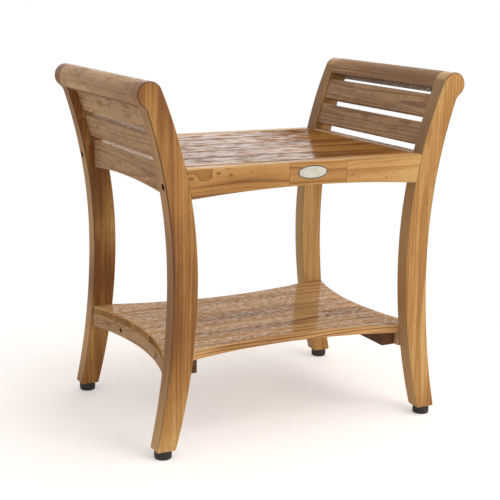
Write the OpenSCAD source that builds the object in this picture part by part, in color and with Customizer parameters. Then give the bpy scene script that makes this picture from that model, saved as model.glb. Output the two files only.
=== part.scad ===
// Teak shower bench: a framed, slatted seat and a slatted shelf between four swept legs,
// with a rounded arm rail over two tilted slats at each side.
// Millimetres. Seen from the front, +X is right, +Y is back and +Z is up.
// The origin is on the floor under the middle of the bench.

/* [Overall size] */
// Width over the scroll heads of the legs
overall_w = 610; // [580:1:650]
// Depth over the front and rear faces of the legs
overall_d = 404; // [380:1:450]
// Height of the seat's top above the floor
seat_h = 484; // [460:1:500]
// Height of the top of the arm rails above the seat
arm_h = 138; // [126:1:160]
// Height of the shelf's top above the floor
shelf_h = 169; // [150:1:210]

/* [Legs] */
// Thickness of a leg from front to back
leg_t = 30; // [28:0.5:36]
// Width of a leg at its waist
leg_waist_w = 43; // [41:0.5:47]
// Height of the waist above the floor
leg_waist_z = 300; // [285:1:315]
// How far the inner edge runs out between the waist and the middle of the head
head_sweep = 82; // [78:0.5:88]
// How far the outer edge runs out between the waist and the head
outer_sweep = 53; // [50:0.5:57]
// How far the inner edge runs out between the waist and the bottom
foot_sweep_in = 39; // [34:0.5:44]
// How far the outer edge runs out between the waist and the bottom
foot_sweep_out = 31; // [28:0.5:36]
// Radius of the scroll head
head_r = 21; // [20:0.25:23]
// Radius of the hollow under the outside of the head
neck_r = 22; // [16:0.5:30]

/* [Arms] */
// How far the rail reaches below the middle of the head
rail_drop = 15.5; // [14:0.5:18]
// Gap below, between and above the arm slats
arm_gap = 11.25; // [8:0.25:14]
// Thickness of an arm slat
arm_slat_t = 12; // [10:0.5:15]
// Distance of an arm slat from the inner edge of the legs
arm_slat_inset = 10; // [8:0.5:12]
// Depth of the stub tenons on an arm slat
arm_tenon_l = 10; // [6:0.5:14]
// Shoulder around a stub tenon on the slat's faces
arm_tenon_shoulder_t = 2; // [1.5:0.25:3]
// Shoulder around a stub tenon on the slat's edges
arm_tenon_shoulder_w = 5; // [3:0.5:8]

/* [Seat frame] */
// Height of the aprons at their ends
apron_h = 50; // [46:1:54]
// Thickness of the front and rear aprons
apron_t = 22; // [20:0.5:24]
// Rise of the arch under the front and rear aprons
apron_arch = 10; // [6:0.5:14]
// Thickness of the side aprons
side_apron_t = 20; // [18:0.5:22]
// Rise of the arch under the side aprons
side_apron_arch = 8; // [4:0.5:12]
// Distance of a side apron from the inner edge of the legs, at the underside of the slats
side_apron_inset = 1.6; // [1:0.1:3]
// Radius of the eased edges
ease_r = 3; // [1.5:0.25:4]

/* [Slats] */
// Thickness of the seat slats
seat_slat_t = 15; // [13:0.5:18]
// Thickness of the shelf slats
shelf_slat_t = 15; // [13:0.5:18]
// Gap between slats
slat_gap = 3; // [2:0.25:5]
// Gap at the ends of the seat slats
slat_end_gap = 3.5; // [3:0.25:6]

/* [Battens under the seat] */
// Width of a side batten
batten_w = 22; // [20:0.5:26]
// Width of the middle batten
mid_batten_w = 40; // [34:1:50]
// Height of the battens
batten_h = 22; // [20:0.5:23]

/* [Shelf] */
// How far the corners of the shelf stay inside the outer edge of the legs
shelf_inset = 0.5; // [0.5:0.5:4]
// How far the front and rear edges of the shelf draw in at the middle
shelf_bow = 33; // [20:0.5:38]
// How far the sides of the shelf draw in at the middle
shelf_side_bow = 30; // [20:0.5:32]
// Height of the stretchers and cleats under the shelf
stretcher_h = 24; // [22:0.5:28]
// Least thickness of a stretcher, at its middle
stretcher_mid_t = 10; // [9:0.5:12]
// Width of a cleat
cleat_w = 26; // [20:0.5:28]
// Distance of a cleat's ends from the legs
cleat_setback = 12; // [9:1:24]
// Distance of the stretcher's dowels from its inner face
stretcher_dowel_x = 11; // [10:0.5:12]
// Distance between the two dowels at a stretcher's end
stretcher_dowel_pitch = 14; // [12:0.5:15]

/* [Levelling feet] */
// Height of a foot pad, screwed right in
foot_h = 15; // [13:0.5:18]
// Radius of a foot pad
foot_r = 15; // [13:0.25:15]
// Travel of a levelling foot
foot_travel = 8; // [5:0.5:10]
// Radius of the stud
stud_r = 4; // [3:0.25:4.5]
// Outer radius of the threaded insert
insert_r = 6; // [5.5:0.25:7]
// Length of the threaded insert
insert_l = 14; // [10:0.5:16]
// Radius of the stud's flange inside the pad
stud_flange_r = 9; // [7:0.5:11]
// Thickness of the stud's flange
stud_flange_h = 3; // [2:0.5:4]
// Thickness of the rubber under the stud
pad_sole_t = 4; // [3:0.5:5]
// Radius of a pad's rounded rims
pad_ease = 2.5; // [1:0.25:3.5]

/* [Fasteners] */
// Radius of a dowel
dowel_r = 4; // [3:0.25:4.5]
// Depth of a dowel in a leg, from the side
dowel_in_leg = 12; // [9:0.5:13]
// Depth of a dowel in a rail or an apron
dowel_in_rail = 18; // [14:0.5:20]
// Radius of the dowels at the ends of the arm rails
rail_dowel_r = 6; // [5:0.25:7]
// Radius of a frame bolt's shank
bolt_r = 3; // [2.5:0.25:3.5]
// Length of a frame bolt under its head
bolt_l = 60; // [55:1:65]
// Radius of a frame bolt's head
bolt_head_r = 5; // [4.5:0.25:6]
// Height of a frame bolt's head
bolt_head_h = 6; // [4:0.25:7]
// Distance of a bolt head below the leg's outer edge
bolt_sink = 8; // [6:0.5:10]
// Radius of a barrel nut
nut_r = 5; // [4.5:0.25:6]
// Length of a barrel nut
nut_l = 14; // [11:0.5:16]
// Distance of a frame bolt below the seat's top
bolt_drop = 28; // [26:0.5:29]
// How far a frame bolt reaches past the middle of its barrel nut
bolt_past_nut = 7; // [6:0.5:10]
// Distance of the aprons' dowels from the aprons' edges
apron_dowel_edge = 10.5; // [10:0.5:11]
// Distance of the side aprons' dowels from the aprons' edges
side_dowel_edge = 13; // [12:0.5:13.5]
// Radius of a wood screw's shank
screw_r = 2; // [1.5:0.1:2.5]
// Radius of a wood screw's head
screw_head_r = 4; // [3.5:0.1:4.5]
// Height of a wood screw's countersunk head
screw_head_h = 3; // [2:0.5:4]
// How far a wood screw bites into the piece that it holds
screw_bite = 9; // [6:0.5:11]
// How deep the screws under the slats are sunk
screw_sink = 4; // [1:0.5:6]
// How deep the screws in the stretchers are sunk
stretcher_screw_sink = 7; // [5:0.5:9]
// Distance of a stretcher's screws from its middle
stretcher_screw_y = 84; // [60:1:110]

/* [Fits] */
// Clearance between parts that slip together
slip = 0.1; // [0.05:0.05:0.3]
// Spare depth at the end of a blind hole
spare = 0.5; // [0.3:0.1:1]
// Running clearance around a levelling stud
run_gap = 0.06; // [0.03:0.01:0.1]

/* [Hidden] */

slat_count = 5;
arm_slat_count = 2;
$fn = 48;
arc_fn = 1440;
teak_face = "#b9823f";
teak_edge = "#9c7650";
teak_wet = "#8a5a2e";
teak_inside = "#7c5230";
beech = "#d8b98a";
rubber = "#1d1d1f";
steel = "#a9adb0";
brass = "#b8923f";

// The curve of a leg: each edge is two arcs that meet upright at the waist.
overall_h = seat_h + arm_h;
head_x = overall_w / 2 - head_r;
head_z = overall_h - head_r;
waist_in = head_x - head_sweep;
waist_out = waist_in + leg_waist_w;
head_rise = head_z - leg_waist_z;
foot_fall = leg_waist_z - foot_h;
function arc_radius(run, sweep) = (run * run + sweep * sweep) / (2 * sweep);
// The inner edge runs into the head without a corner, so its arc touches the head's circle.
in_up_r = (pow(head_sweep, 2) + pow(head_rise, 2) - pow(head_r, 2)) / (2 * (head_sweep - head_r));
out_up_r = arc_radius(head_rise, outer_sweep);
in_low_r = arc_radius(foot_fall, foot_sweep_in);
out_low_r = arc_radius(foot_fall, foot_sweep_out);
function arc_x(z, waist_x, r) = waist_x + r - sqrt(r * r - pow(z - leg_waist_z, 2));
function inner_x(z) = arc_x(z, waist_in, z > leg_waist_z ? in_up_r : in_low_r);
function outer_x(z) = arc_x(z, waist_out, z > leg_waist_z ? out_up_r : out_low_r);

// The hollow of the neck touches the head's circle and the outer edge's arc.
arc_in_x = waist_in + in_up_r;
arc_out_x = waist_out + out_up_r;
neck_span = norm([arc_out_x - head_x, head_rise]);
neck_near = head_r + neck_r;
neck_far = out_up_r - neck_r;
neck_turn = acos((pow(neck_near, 2) + pow(neck_span, 2) - pow(neck_far, 2)) / (2 * neck_near * neck_span));
neck_angle = -atan2(head_rise, arc_out_x - head_x) - neck_turn;
neck_x = head_x + neck_near * cos(neck_angle);
neck_z = head_z + neck_near * sin(neck_angle);
neck_root = (out_up_r + head_r / 2) / neck_far;
neck_root_x = arc_out_x + (neck_x - arc_out_x) * neck_root;
neck_root_z = leg_waist_z + (neck_z - leg_waist_z) * neck_root;

// Angles about the centre of the inner edge's upper arc place the rail and the arm slats.
head_tilt = asin(head_rise / (in_up_r - head_r));
arm_slat_r = in_up_r - arm_slat_inset - arm_slat_t / 2;
function degrees_along(length, r) = length / r * 180 / PI;
rail_tilt = head_tilt - degrees_along(rail_drop, in_up_r - head_r);
seat_tilt = asin((seat_h - leg_waist_z) / arm_slat_r);
arm_run = arm_slat_r * (rail_tilt - seat_tilt) * PI / 180;
arm_slat_w = (arm_run - (arm_slat_count + 1) * arm_gap) / arm_slat_count;
function arm_slat_tilt(i) =
    seat_tilt + degrees_along(arm_gap + arm_slat_w / 2 + i * (arm_slat_w + arm_gap), arm_slat_r);

// Faces and middles, for the corner at +X and -Y.
leg_inside_y = overall_d / 2 - leg_t;
leg_mid_y = overall_d / 2 - leg_t / 2;
apron_mid_y = overall_d / 2 - apron_t / 2;
seat_inside_y = overall_d / 2 - apron_t;
apron_low_z = seat_h - apron_h;
slat_low_z = seat_h - seat_slat_t;
side_apron_x = inner_x(slat_low_z) + side_apron_inset;
side_apron_mid_x = side_apron_x + side_apron_t / 2;
seat_slat_half = side_apron_x - slat_end_gap;
batten_low_z = slat_low_z - batten_h;
bolt_z = seat_h - bolt_drop;
apron_dowel_z = [seat_h - apron_dowel_edge, apron_low_z + apron_dowel_edge];
side_dowel_z = [seat_h - side_dowel_edge, apron_low_z + side_dowel_edge];
batten_mid_x = side_apron_x - batten_w / 2;
batten_mid_z = batten_low_z + batten_h / 2;

// Shelf
shelf_low_z = shelf_h - shelf_slat_t;
stretcher_low_z = shelf_low_z - stretcher_h;
stretcher_mid_z = shelf_low_z - stretcher_h / 2;
shelf_half_x = outer_x(shelf_h) - shelf_inset;
shelf_half_y = leg_inside_y - spare;
shelf_waist_x = shelf_half_x - shelf_side_bow;
shelf_waist_y = shelf_half_y - shelf_bow;
stretcher_in_x = shelf_waist_x - stretcher_mid_t;
cleat_in_x = stretcher_in_x - cleat_w;
cleat_end_y = leg_inside_y - cleat_setback;
bow_x_r = arc_radius(inner_x(shelf_h), shelf_bow);
bow_y_r = arc_radius(leg_inside_y, shelf_side_bow);

// Slat pitch
seat_slat_w = (2 * seat_inside_y - (slat_count + 1) * slat_gap) / slat_count;
shelf_slat_w = (2 * shelf_half_y - (slat_count - 1) * slat_gap) / slat_count;
function slat_y(i, width) = (i - (slat_count - 1) / 2) * (width + slat_gap);

// Feet, bolts and screws
foot_x = (inner_x(foot_h) + outer_x(foot_h)) / 2;
stud_l = insert_l + foot_travel;
pad_h = foot_h - slip;
bolt_head_x = outer_x(bolt_z) - bolt_sink - bolt_head_h;
nut_x = bolt_head_x - bolt_l + bolt_past_nut;
socket_r = bolt_head_r * 0.55;
stretcher_screw_x = shelf_waist_x + bow_y_r
    - sqrt(pow(bow_y_r, 2) - pow(stretcher_screw_y, 2)) - stretcher_screw_sink;
stretcher_screw_l = stretcher_screw_x - stretcher_in_x + cleat_w - screw_bite / 2;

// Helpers

// Turns the corner at +X and -Y into the corner on the given side and face.
module corner(side, face)
    mirror([side < 0 ? 1 : 0, 0, 0])
        mirror([0, face > 0 ? 1 : 0, 0])
            children();

module corners()
    for (side = [-1, 1], face = [-1, 1])
        corner(side, face)
            children();

module sides()
    for (side = [-1, 1])
        mirror([side < 0 ? 1 : 0, 0, 0])
            children();

module rod_x(x0, x1, y, z, r)
    translate([x0, y, z])
        rotate([0, 90, 0])
            cylinder(h = x1 - x0, r = r);

module rod_y(x, y0, y1, z, r)
    translate([x, y0, z])
        rotate([-90, 0, 0])
            cylinder(h = y1 - y0, r = r);

module rod_z(x, y, z0, z1, r)
    translate([x, y, z0])
        cylinder(h = z1 - z0, r = r);

// Extrudes an outline drawn in X and Z between two depths.
module extrude_y(y0, y1)
    translate([0, y1, 0])
        rotate([90, 0, 0])
            linear_extrude(y1 - y0)
                children();

// Extrudes an outline drawn in Y and Z between two widths.
module extrude_x(x0, x1)
    translate([x0, 0, 0])
        rotate([90, 0, 90])
            linear_extrude(x1 - x0)
                children();

// A rectangle with eased corners, from its low corner.
module eased_box(size, r) {
    translate([r, 0])
        square([size.x - 2 * r, size.y]);
    translate([0, r])
        square([size.x, size.y - 2 * r]);
    for (x = [r, size.x - r], y = [r, size.y - r])
        translate([x, y])
            circle(r);
}

// A disc whose inner edge stands upright at the waist.
module waist_disc(waist_x, r)
    translate([waist_x + r, leg_waist_z])
        circle(r, $fn = arc_fn);

// A disc that rises into a low edge by the given arch over the given half width.
module arch_disc(half, arch, low_z)
    let (r = arc_radius(half, arch))
        translate([0, low_z + arch - r])
            circle(r, $fn = arc_fn);

// Legs

module leg_blade_low()
    intersection() {
        translate([0, foot_h])
            square([overall_w, foot_fall]);
        difference() {
            waist_disc(waist_in, in_low_r);
            waist_disc(waist_out, out_low_r);
        }
    }

module leg_blade_high()
    intersection() {
        polygon([
            [0, leg_waist_z],
            [overall_w, leg_waist_z],
            [overall_w, head_z],
            [head_x, head_z],
            [head_x - head_x * cos(head_tilt), head_z + head_x * sin(head_tilt)]
        ]);
        difference() {
            waist_disc(waist_in, in_up_r);
            waist_disc(waist_out, out_up_r);
        }
    }

module leg_outline()
    union() {
        leg_blade_low();
        leg_blade_high();
        translate([head_x, head_z])
            circle(head_r, $fn = 96);
    }

module neck_outline()
    difference() {
        polygon([[head_x, head_z], [neck_x, neck_z], [neck_root_x, neck_root_z]]);
        translate([neck_x, neck_z])
            circle(neck_r, $fn = 96);
    }

// A bar with the shape of a leg seen from the front, which the arm rail shares.
module leg_bar(y0, y1)
    union() {
        extrude_y(y0, y1)
            leg_outline();
        extrude_y(y0, y1)
            neck_outline();
    }

module leg(side, face)
    color(teak_face)
        corner(side, face)
            difference() {
                leg_bar(-overall_d / 2, -leg_inside_y);
                frame_bolt_hole();
                apron_dowel_set(slip, spare);
                side_apron_dowel_set(slip, spare);
                rail_dowel_set(slip, spare);
                stretcher_dowel_set(slip, spare);
                foot_hole();
                for (i = [0 : arm_slat_count - 1])
                    arm_tenon(i, slip, spare);
            }

// Arms

// Places something that stands at the origin on the arm slats' arc at the given angle.
module on_arm_arc(tilt)
    translate([arc_in_x, 0, leg_waist_z])
        rotate([0, tilt, 0])
            translate([-arm_slat_r, 0, 0])
                children();

module arm_rail(side)
    color(teak_edge)
        corner(side, -1)
            difference() {
                intersection() {
                    leg_bar(-leg_inside_y, leg_inside_y);
                    extrude_y(-leg_inside_y, leg_inside_y)
                        translate([arc_in_x, leg_waist_z])
                            rotate(180 - rail_tilt)
                                translate([0, -overall_h])
                                    square([in_up_r + head_r, overall_h]);
                }
                for (face = [-1, 1])
                    corner(1, face)
                        rail_dowel_set(slip, spare);
            }

module arm_tenon(i, gap, deeper)
    on_arm_arc(arm_slat_tilt(i))
        translate([
            -arm_slat_t / 2 + arm_tenon_shoulder_t - gap,
            -leg_inside_y - arm_tenon_l - deeper,
            -arm_slat_w / 2 + arm_tenon_shoulder_w - gap
        ])
            cube([
                arm_slat_t - 2 * arm_tenon_shoulder_t + 2 * gap,
                arm_tenon_l + deeper,
                arm_slat_w - 2 * arm_tenon_shoulder_w + 2 * gap
            ]);

module arm_slat(side, i)
    color(teak_edge)
        corner(side, -1) {
            on_arm_arc(arm_slat_tilt(i))
                translate([-arm_slat_t / 2, 0, -arm_slat_w / 2])
                    extrude_y(-leg_inside_y, leg_inside_y)
                        eased_box([arm_slat_t, arm_slat_w], ease_r);
            for (face = [-1, 1])
                corner(1, face)
                    arm_tenon(i, 0, 0);
        }

// Seat frame

module seat_apron(face)
    color(teak_face)
        corner(1, face)
            difference() {
                intersection() {
                    extrude_y(-overall_d / 2, -seat_inside_y)
                        difference() {
                            translate([-overall_w / 2, apron_low_z])
                                square([overall_w, apron_h]);
                            arch_disc(inner_x(apron_low_z), apron_arch, apron_low_z);
                            sides2d()
                                waist_disc(waist_in - slip, in_up_r);
                        }
                    extrude_x(-overall_w / 2, overall_w / 2)
                        translate([-overall_d / 2, apron_low_z])
                            eased_box([apron_t, apron_h], ease_r);
                }
                sides() {
                    apron_dowel_set(slip, spare);
                    frame_bolt_hole();
                    barrel_nut_hole();
                }
                batten_dowel(slip, spare);
            }

module sides2d()
    for (side = [-1, 1])
        mirror([side < 0 ? 1 : 0, 0])
            children();

module side_apron(side)
    color(teak_edge)
        corner(side, -1)
            difference() {
                intersection() {
                    extrude_x(side_apron_x, side_apron_x + side_apron_t)
                        difference() {
                            translate([-leg_inside_y, apron_low_z])
                                square([2 * leg_inside_y, apron_h]);
                            arch_disc(leg_inside_y, side_apron_arch, apron_low_z);
                        }
                    extrude_y(-leg_inside_y, leg_inside_y)
                        translate([side_apron_x, apron_low_z])
                            eased_box([side_apron_t, apron_h], ease_r);
                }
                for (face = [-1, 1])
                    corner(1, face)
                        side_apron_dowel_set(slip, spare);
                batten_screw_places()
                    screw_hole(batten_w + screw_bite, screw_sink);
            }

module seat_slat(i)
    color(teak_wet)
        difference() {
            extrude_x(-seat_slat_half, seat_slat_half)
                translate([slat_y(i, seat_slat_w) - seat_slat_w / 2, slat_low_z])
                    eased_box([seat_slat_w, seat_slat_t], ease_r);
            seat_screw_places()
                screw_hole(batten_h - screw_sink + screw_bite, screw_sink);
        }

// Battens under the seat slats

module side_batten(side)
    color(teak_inside)
        corner(side, -1)
            difference() {
                translate([side_apron_x - batten_w, -leg_inside_y + spare, batten_low_z])
                    cube([batten_w, 2 * (leg_inside_y - spare), batten_h]);
                batten_screw_places()
                    screw_hole(batten_w + screw_bite, screw_sink);
                seat_screw_places()
                    screw_hole(batten_h - screw_sink + screw_bite, screw_sink);
            }

module middle_batten()
    color(teak_inside)
        difference() {
            translate([-mid_batten_w / 2, -seat_inside_y, batten_low_z])
                cube([mid_batten_w, 2 * seat_inside_y, batten_h]);
            for (face = [-1, 1])
                corner(1, face)
                    batten_dowel(slip, spare);
            seat_screw_places()
                screw_hole(batten_h - screw_sink + screw_bite, screw_sink);
        }

// Shelf

// The plan of the shelf: a rectangle between the legs with four sides that draw in.
module shelf_plan()
    difference() {
        translate([-shelf_half_x, -shelf_half_y])
            square([2 * shelf_half_x, 2 * shelf_half_y]);
        for (face = [-1, 1])
            translate([0, face * (shelf_waist_y + bow_x_r)])
                circle(bow_x_r, $fn = arc_fn);
        sides2d()
            translate([shelf_waist_x + bow_y_r, 0])
                circle(bow_y_r, $fn = arc_fn);
    }

module shelf_slat(i)
    color(teak_wet)
        difference() {
            intersection() {
                translate([0, 0, shelf_low_z])
                    linear_extrude(shelf_slat_t)
                        shelf_plan();
                extrude_x(-overall_w / 2, overall_w / 2)
                    translate([slat_y(i, shelf_slat_w) - shelf_slat_w / 2, shelf_low_z])
                        eased_box([shelf_slat_w, shelf_slat_t], ease_r);
            }
            shelf_screw_places()
                screw_hole(stretcher_h - screw_sink + screw_bite, screw_sink);
        }

module stretcher(side)
    color(teak_edge)
        corner(side, -1)
            difference() {
                translate([0, 0, stretcher_low_z])
                    linear_extrude(stretcher_h)
                        difference() {
                            translate([stretcher_in_x, -leg_inside_y])
                                square([shelf_half_x - stretcher_in_x, 2 * leg_inside_y]);
                            translate([shelf_waist_x + bow_y_r, 0])
                                circle(bow_y_r, $fn = arc_fn);
                        }
                for (face = [-1, 1])
                    corner(1, face)
                        stretcher_dowel_set(slip, spare);
                stretcher_screw_places()
                    screw_hole(stretcher_screw_l, stretcher_screw_sink + shelf_side_bow);
            }

module cleat(side)
    color(teak_inside)
        corner(side, -1)
            difference() {
                translate([cleat_in_x, -cleat_end_y, stretcher_low_z])
                    cube([cleat_w, 2 * cleat_end_y, stretcher_h]);
                stretcher_screw_places()
                    screw_hole(stretcher_screw_l, stretcher_screw_sink);
                shelf_screw_places()
                    screw_hole(stretcher_h - screw_sink + screw_bite, screw_sink);
            }

// Levelling feet: a rubber pad moulded around the flange of a threaded stud.

module foot_pad(side, face)
    color(rubber)
        corner(side, face)
            translate([foot_x, -leg_mid_y, 0])
                rotate_extrude($fn = 64)
                    difference() {
                        union() {
                            square([foot_r - pad_ease, pad_h]);
                            translate([0, pad_ease])
                                square([foot_r, pad_h - 2 * pad_ease]);
                            for (z = [pad_ease, pad_h - pad_ease])
                                translate([foot_r - pad_ease, z])
                                    circle(pad_ease);
                        }
                        translate([0, pad_sole_t])
                            square([stud_flange_r, stud_flange_h]);
                        translate([0, pad_sole_t])
                            square([stud_r, pad_h]);
                    }

module foot_stud(side, face)
    color(steel)
        corner(side, face)
            union() {
                rod_z(foot_x, -leg_mid_y, pad_sole_t, foot_h + stud_l, stud_r);
                rod_z(foot_x, -leg_mid_y, pad_sole_t, pad_sole_t + stud_flange_h, stud_flange_r);
            }

module foot_hole() {
    rod_z(foot_x, -leg_mid_y, foot_h - spare, foot_h + insert_l + slip, insert_r + slip / 2);
    rod_z(foot_x, -leg_mid_y, foot_h, foot_h + stud_l + spare, stud_r + spare);
}

module foot_inserts()
    color(brass)
        corners()
            difference() {
                rod_z(foot_x, -leg_mid_y, foot_h, foot_h + insert_l, insert_r);
                rod_z(foot_x, -leg_mid_y, foot_h - spare, foot_h + insert_l + spare, stud_r + run_gap);
            }

// Frame bolts: through each leg into a barrel nut in the end of the front or rear apron.

module frame_bolt()
    difference() {
        union() {
            rod_x(bolt_head_x - bolt_l, bolt_head_x, -apron_mid_y, bolt_z, bolt_r);
            rod_x(bolt_head_x, bolt_head_x + bolt_head_h, -apron_mid_y, bolt_z, bolt_head_r);
        }
        translate([bolt_head_x + bolt_head_h / 2, -apron_mid_y, bolt_z])
            rotate([0, 90, 0])
                cylinder(h = bolt_head_h, r = socket_r, $fn = 6);
    }

module frame_bolt_hole() {
    rod_x(bolt_head_x - bolt_l - spare, overall_w / 2, -apron_mid_y, bolt_z, bolt_r + slip);
    rod_x(bolt_head_x, overall_w / 2, -apron_mid_y, bolt_z, bolt_head_r + spare);
}

module frame_bolts()
    color(steel)
        corners()
            frame_bolt();

module barrel_nut_hole()
    rod_y(nut_x, -apron_mid_y - nut_l / 2 - slip, -seat_inside_y + spare, bolt_z, nut_r + slip);

module barrel_nuts()
    color(brass)
        corners()
            difference() {
                rod_y(nut_x, -apron_mid_y - nut_l / 2, -apron_mid_y + nut_l / 2, bolt_z, nut_r);
                rod_x(nut_x - 2 * nut_r, nut_x + 2 * nut_r, -apron_mid_y, bolt_z, bolt_r + slip);
            }

// Dowels: a set for one corner, drawn larger by a gap where it cuts its holes.

module apron_dowel_set(gap, deeper)
    for (z = apron_dowel_z)
        rod_x(
            inner_x(z) - dowel_in_rail - deeper,
            inner_x(z) + dowel_in_rail + deeper,
            -apron_mid_y, z, dowel_r + gap
        );

module side_apron_dowel_set(gap, deeper)
    for (z = side_dowel_z)
        rod_y(
            side_apron_mid_x,
            -leg_inside_y - dowel_in_leg - deeper,
            -leg_inside_y + dowel_in_rail + deeper,
            z, dowel_r + gap
        );

module rail_dowel_set(gap, deeper)
    rod_y(
        head_x,
        -leg_inside_y - dowel_in_rail - deeper,
        -leg_inside_y + dowel_in_rail + deeper,
        head_z, rail_dowel_r + gap
    );

module stretcher_dowel_set(gap, deeper)
    for (x = [stretcher_dowel_x, stretcher_dowel_x + stretcher_dowel_pitch])
        rod_y(
            stretcher_in_x + x,
            -leg_inside_y - dowel_in_leg - deeper,
            -leg_inside_y + dowel_in_rail + deeper,
            stretcher_mid_z, dowel_r + gap
        );

module batten_dowel(gap, deeper)
    rod_y(
        0,
        -seat_inside_y - dowel_in_leg - deeper,
        -seat_inside_y + dowel_in_rail + deeper,
        batten_mid_z, dowel_r + gap
    );

module apron_dowels()
    color(beech)
        corners()
            apron_dowel_set(0, 0);

module side_apron_dowels()
    color(beech)
        corners()
            side_apron_dowel_set(0, 0);

module rail_dowels()
    color(beech)
        corners()
            rail_dowel_set(0, 0);

module stretcher_dowels()
    color(beech)
        corners()
            stretcher_dowel_set(0, 0);

module batten_dowels()
    color(beech)
        for (face = [-1, 1])
            corner(1, face)
                batten_dowel(0, 0);

// Wood screws: a shank that points along +Z from a countersunk head at the origin.

module wood_screw(length, gap = 0)
    union() {
        cylinder(h = screw_head_h, r1 = screw_head_r + gap, r2 = screw_r + gap);
        cylinder(h = length, r = screw_r + gap);
    }

module screw_hole(length, sink) {
    wood_screw(length + spare, slip);
    translate([0, 0, -sink - spare])
        cylinder(h = sink + spare, r = screw_head_r + slip);
}

module seat_screw_places()
    for (x = [-batten_mid_x, 0, batten_mid_x], i = [0 : slat_count - 1])
        translate([x, slat_y(i, seat_slat_w), batten_low_z + screw_sink])
            children();

// Along the side batten at +X, between the seat slats' screws.
module batten_screw_places()
    for (i = [0 : slat_count - 2])
        translate([side_apron_x - batten_w + screw_sink, slat_y(i + 0.5, seat_slat_w), batten_mid_z])
            rotate([0, 90, 0])
                children();

module shelf_screw_places()
    for (side = [-1, 1], i = [0 : slat_count - 1])
        let (y = slat_y(i, shelf_slat_w), end_y = cleat_end_y - cleat_w / 2)
            translate([
                side * (cleat_in_x + cleat_w / 2),
                max(-end_y, min(end_y, y)),
                stretcher_low_z + screw_sink
            ])
                children();

module stretcher_screw_places()
    for (face = [-1, 1])
        translate([stretcher_screw_x, face * stretcher_screw_y, stretcher_mid_z])
            rotate([0, -90, 0])
                children();

module seat_slat_screws()
    color(steel)
        seat_screw_places()
            wood_screw(batten_h - screw_sink + screw_bite);

module seat_batten_screws()
    color(steel)
        sides()
            batten_screw_places()
                wood_screw(batten_w - screw_sink + screw_bite);

module shelf_slat_screws()
    color(steel)
        shelf_screw_places()
            wood_screw(stretcher_h - screw_sink + screw_bite);

module stretcher_screws()
    color(steel)
        sides()
            stretcher_screw_places()
                wood_screw(stretcher_screw_l);

leg(-1, -1);  // leg_front_left
leg(1, -1);  // leg_front_right
leg(-1, 1);  // leg_rear_left
leg(1, 1);  // leg_rear_right
arm_rail(-1);  // arm_rail_left
arm_rail(1);  // arm_rail_right
arm_slat(-1, 1);  // arm_slat_upper_left
arm_slat(1, 1);  // arm_slat_upper_right
arm_slat(-1, 0);  // arm_slat_lower_left
arm_slat(1, 0);  // arm_slat_lower_right
seat_apron(-1);  // seat_apron_front
seat_apron(1);  // seat_apron_rear
side_apron(-1);  // seat_apron_left
side_apron(1);  // seat_apron_right
for (i = [0 : slat_count - 1]) {
    seat_slat(i);
    shelf_slat(i);
}
side_batten(-1);  // seat_batten_left
middle_batten();  // seat_batten_middle
side_batten(1);  // seat_batten_right
stretcher(-1);  // shelf_stretcher_left
stretcher(1);  // shelf_stretcher_right
cleat(-1);  // shelf_cleat_left
cleat(1);  // shelf_cleat_right
foot_pad(-1, -1);  // foot_pad_front_left
foot_pad(1, -1);  // foot_pad_front_right
foot_pad(-1, 1);  // foot_pad_rear_left
foot_pad(1, 1);  // foot_pad_rear_right
foot_stud(-1, -1);  // foot_stud_front_left
foot_stud(1, -1);  // foot_stud_front_right
foot_stud(-1, 1);  // foot_stud_rear_left
foot_stud(1, 1);  // foot_stud_rear_right
foot_inserts();
frame_bolts();
barrel_nuts();
apron_dowels();
side_apron_dowels();
rail_dowels();
stretcher_dowels();
batten_dowels();
seat_slat_screws();
seat_batten_screws();
shelf_slat_screws();
stretcher_screws();
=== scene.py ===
"""Dresses the teak shower bench: eased boards of wet teak, rubber feet, plain fittings and a pale studio.

Lengths are in metres. Seen from the front, +X is right, +Y is back and +Z is up.
A point of a board's outline is a complex number, u + v * 1j, in the plane that its Plane names.
"""

import logging
import math
from dataclasses import dataclass, field, replace
from enum import Enum

import bpy
import numpy as np
from mathutils import Matrix, Vector


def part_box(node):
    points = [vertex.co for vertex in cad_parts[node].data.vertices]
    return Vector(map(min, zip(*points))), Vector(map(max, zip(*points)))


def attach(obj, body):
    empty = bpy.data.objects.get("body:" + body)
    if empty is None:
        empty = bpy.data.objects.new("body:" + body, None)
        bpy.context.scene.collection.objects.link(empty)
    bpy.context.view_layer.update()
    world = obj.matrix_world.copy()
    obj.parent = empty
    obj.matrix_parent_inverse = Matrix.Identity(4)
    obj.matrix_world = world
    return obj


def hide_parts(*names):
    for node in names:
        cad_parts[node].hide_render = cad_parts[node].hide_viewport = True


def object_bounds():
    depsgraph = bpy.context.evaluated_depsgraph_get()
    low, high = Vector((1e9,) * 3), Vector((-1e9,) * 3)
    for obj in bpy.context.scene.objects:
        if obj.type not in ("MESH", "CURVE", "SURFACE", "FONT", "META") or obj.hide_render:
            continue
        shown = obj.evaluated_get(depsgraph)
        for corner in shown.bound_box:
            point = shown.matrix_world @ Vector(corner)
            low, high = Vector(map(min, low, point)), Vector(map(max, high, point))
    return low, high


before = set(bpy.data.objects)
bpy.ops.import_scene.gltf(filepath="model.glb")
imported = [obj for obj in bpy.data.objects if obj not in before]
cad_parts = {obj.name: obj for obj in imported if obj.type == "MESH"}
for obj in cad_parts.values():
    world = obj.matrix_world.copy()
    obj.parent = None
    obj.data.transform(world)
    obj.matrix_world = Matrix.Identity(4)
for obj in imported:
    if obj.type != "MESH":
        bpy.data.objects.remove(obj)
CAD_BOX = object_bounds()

LOG = logging.getLogger("bench")
Colour = tuple[float, float, float]
Piece = bpy.types.Object
Socket = bpy.types.NodeSocket
Value = float | tuple | Socket
Groups = dict[str, bpy.types.NodeTree]

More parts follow.
